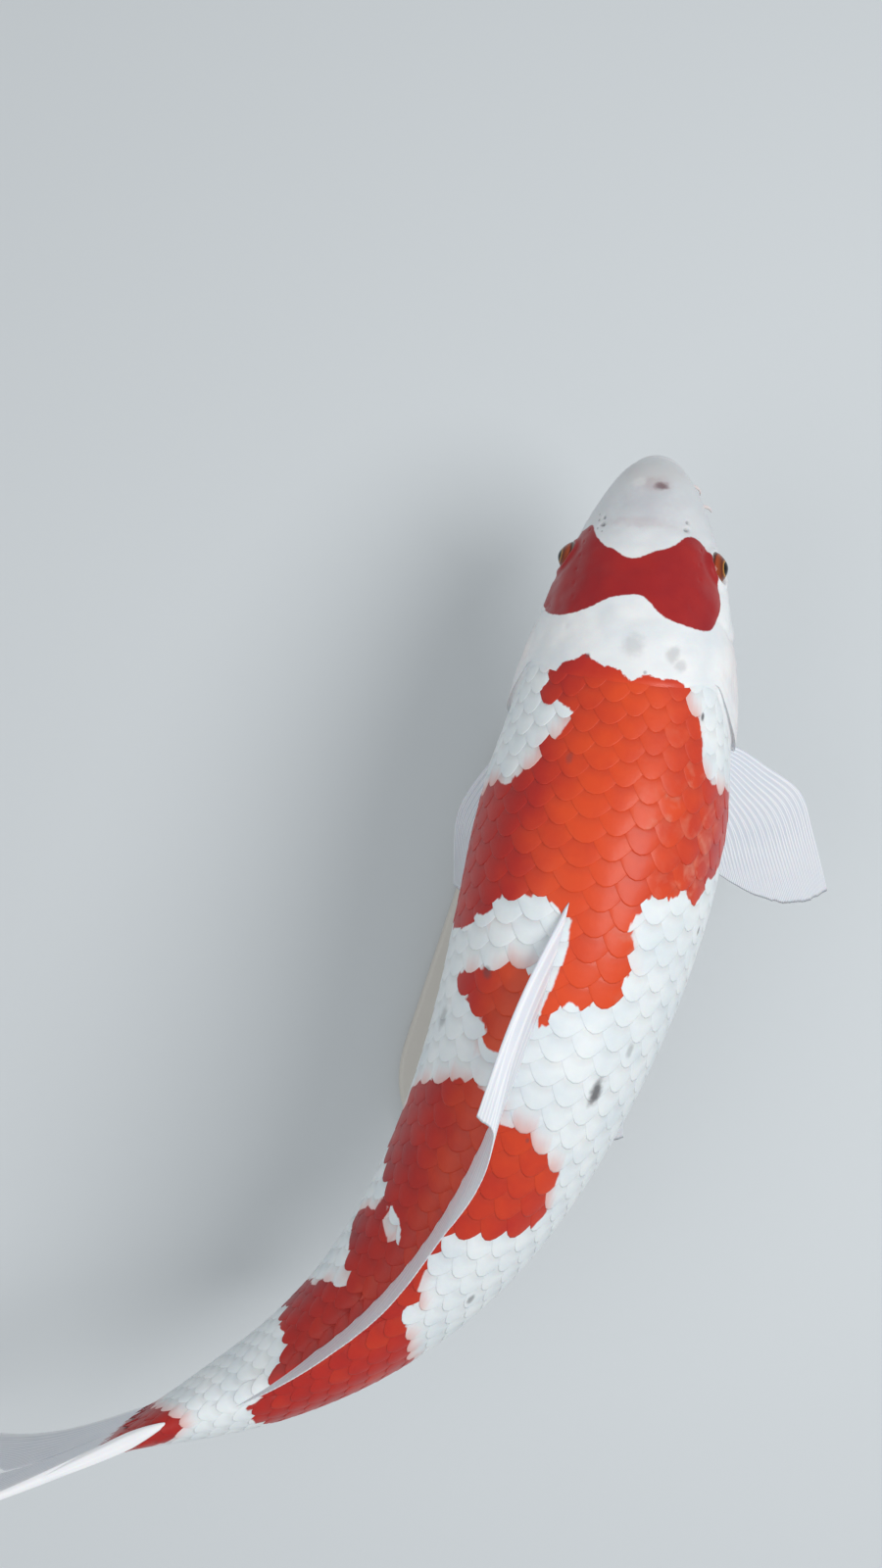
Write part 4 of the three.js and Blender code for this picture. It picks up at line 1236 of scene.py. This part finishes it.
def tail_wave(x):
    """How far to the fish's right the tail fin sweeps at x, and back again."""
    return 3 * np.sin((x - BODY) / 34)


def lobe_surface(side):
    """One lobe of the tail fin, u from the fork in its middle to its outer edge."""
    def at(u, v):
        angle = np.radians(LOBE["inner"] + (LOBE["outer"] - LOBE["inner"]) * u)
        reach = v * tail_ray(u) / np.sqrt(np.cos(angle))
        x = LOBE["root"] + 4 * (1 - u * u) + reach * np.cos(angle)
        z = side * (0.15 + u * LOBE["high"] + reach * np.sin(angle) * (0.75 + 0.25 * v)) + 1
        return np.stack([x, tail_wave(x) * v, z], -1)

    return at


FIN_EDGE = 0.5


def thins(root, proud, power=0.6):
    """How thick the web is, from the fin's root to its edge, and how far the rays stand out of it."""
    def at(v):
        share = np.clip(v, 0, 1) ** power
        return root + (FIN_EDGE - root) * share, proud * (1 - 0.75 * share)

    return at


dorsal = fin("dorsal_fin_web", dorsal_surface, 20, thins(2.6, 0.3), 60, ragged=0.015, clear=0.06)
finish_piece(dorsal, web_and_rays, "fin", "dorsal_fin")

PELVIC = (
    [(300, 12, -78), (312, 27, -91), (335, 45, -101), (361, 60, -108)],
    [(316, 8, -80), (330, 14, -90), (345, 20, -97), (360, 26, -102)], 9, 9, 4, 40)
FANS = {  # leading edge, trailing edge, bulge of the free edge, rays, thickness at the root, rows
    "pectoral_fin_right": (
        [(147, 38, -47), (144, 58, -52), (152, 79, -58), (162, 99, -64), (183, 111, -68), (208, 124, -71)],
        [(160, 36, -55), (174, 44, -60), (188, 50, -64), (201, 56, -67), (211, 61, -69)],
        14, 17, 5, 60),
    "pectoral_fin_left": (
        [(146, -38, -47), (151, -58, -51), (175, -75, -55), (211, -89, -59), (256, -82, -63)],
        [(160, -34, -56), (176, -38, -62), (194, -42, -66), (213, -45, -69), (231, -48, -71)],
        14, 17, 5, 60),
    "pelvic_fin_right": PELVIC,
    "pelvic_fin_left": ([(x, -y, z) for x, y, z in PELVIC[0]], [(x, -y, z) for x, y, z in PELVIC[1]],
                        *PELVIC[2:]),
    "anal_fin": (
        [(476, 0, -47), (489, 0, -68), (506, 0, -87), (526, 1, -101)],
        [(520, 0, -37), (530, 0, -48), (540, 1, -58), (549, 2, -66)], 7, 7, 4.2, 40),
}
for node, (leading, trailing, bulge, rays, thick, rows) in FANS.items():
    made = fin(f"{node}_web", fan_surface(leading, trailing, bulge), rays, thins(thick, 0.26), rows)
    finish_piece(made, web_and_rays, "fin", node)


def tail_tint(points, out):
    """The red of the tail's root, carried on from the stalk over each face under the white top rays."""
    x, y, z = np.moveaxis(points, -1, 0)
    round_side = np.where(y >= tail_wave(x) * out, 1, -1)
    lowered = 39 - z + 0.45 * np.maximum(x - BODY, 0)
    tongues = 3 * np.sin(1.1 * z) + 1.5 * np.sin(2.7 * z)
    near = ease((636 + tongues - x) / 7)
    return near * ease((lowered - 7) / 3) * ease((red_depth(x, round_side * lowered) + 4) / 5)


for side, node, stout in [(1, "caudal_upper_lobe", 0.62), (-1, "caudal_lower_lobe", 0.85)]:
    made = fin(f"{node}_web", lobe_surface(side), 10, thins(8, 0.3, 0.45), 70, tint=tail_tint, stout=stout)
    finish_piece(made, web_and_rays, "fin", node)

# The short stout rays at the top of the tail's root make a white pad that lies on the stalk.
PAD_PATH = [(597, -2.5, 35.4), (609, -1.8, 36.5), (621, -0.6, 36.9), (643, 0.6, 44.4), (668, 1.6, 55.2)]
PAD_SIDES = 32
pad_wide = smooth_curve([0, 0.03, 0.12, 0.3, 0.5, 0.75, 1], [0, 0.9, 2.0, 3.3, 3.9, 3.0, 0.4])
t = np.linspace(0, 1, 90)[:, None] ** 1.3
angle = np.linspace(0, 2 * np.pi, PAD_SIDES, endpoint=False)
fluting = 1 + 0.05 * np.cos(7 * angle) * ease((t - 0.15) / 0.3)
ring = tube(through(PAD_PATH)(t[:, 0]), pad_wide(t) * fluting, PAD_SIDES, [0, 0, 1], flat=0.72)
plain = np.zeros(ring.shape[:2])
pad = grid_piece("caudal_upper_pad", bend(ring), {"ray": plain + 1, "clear": plain, "tint": plain})
finish_piece(pad, web_and_rays, "fin")
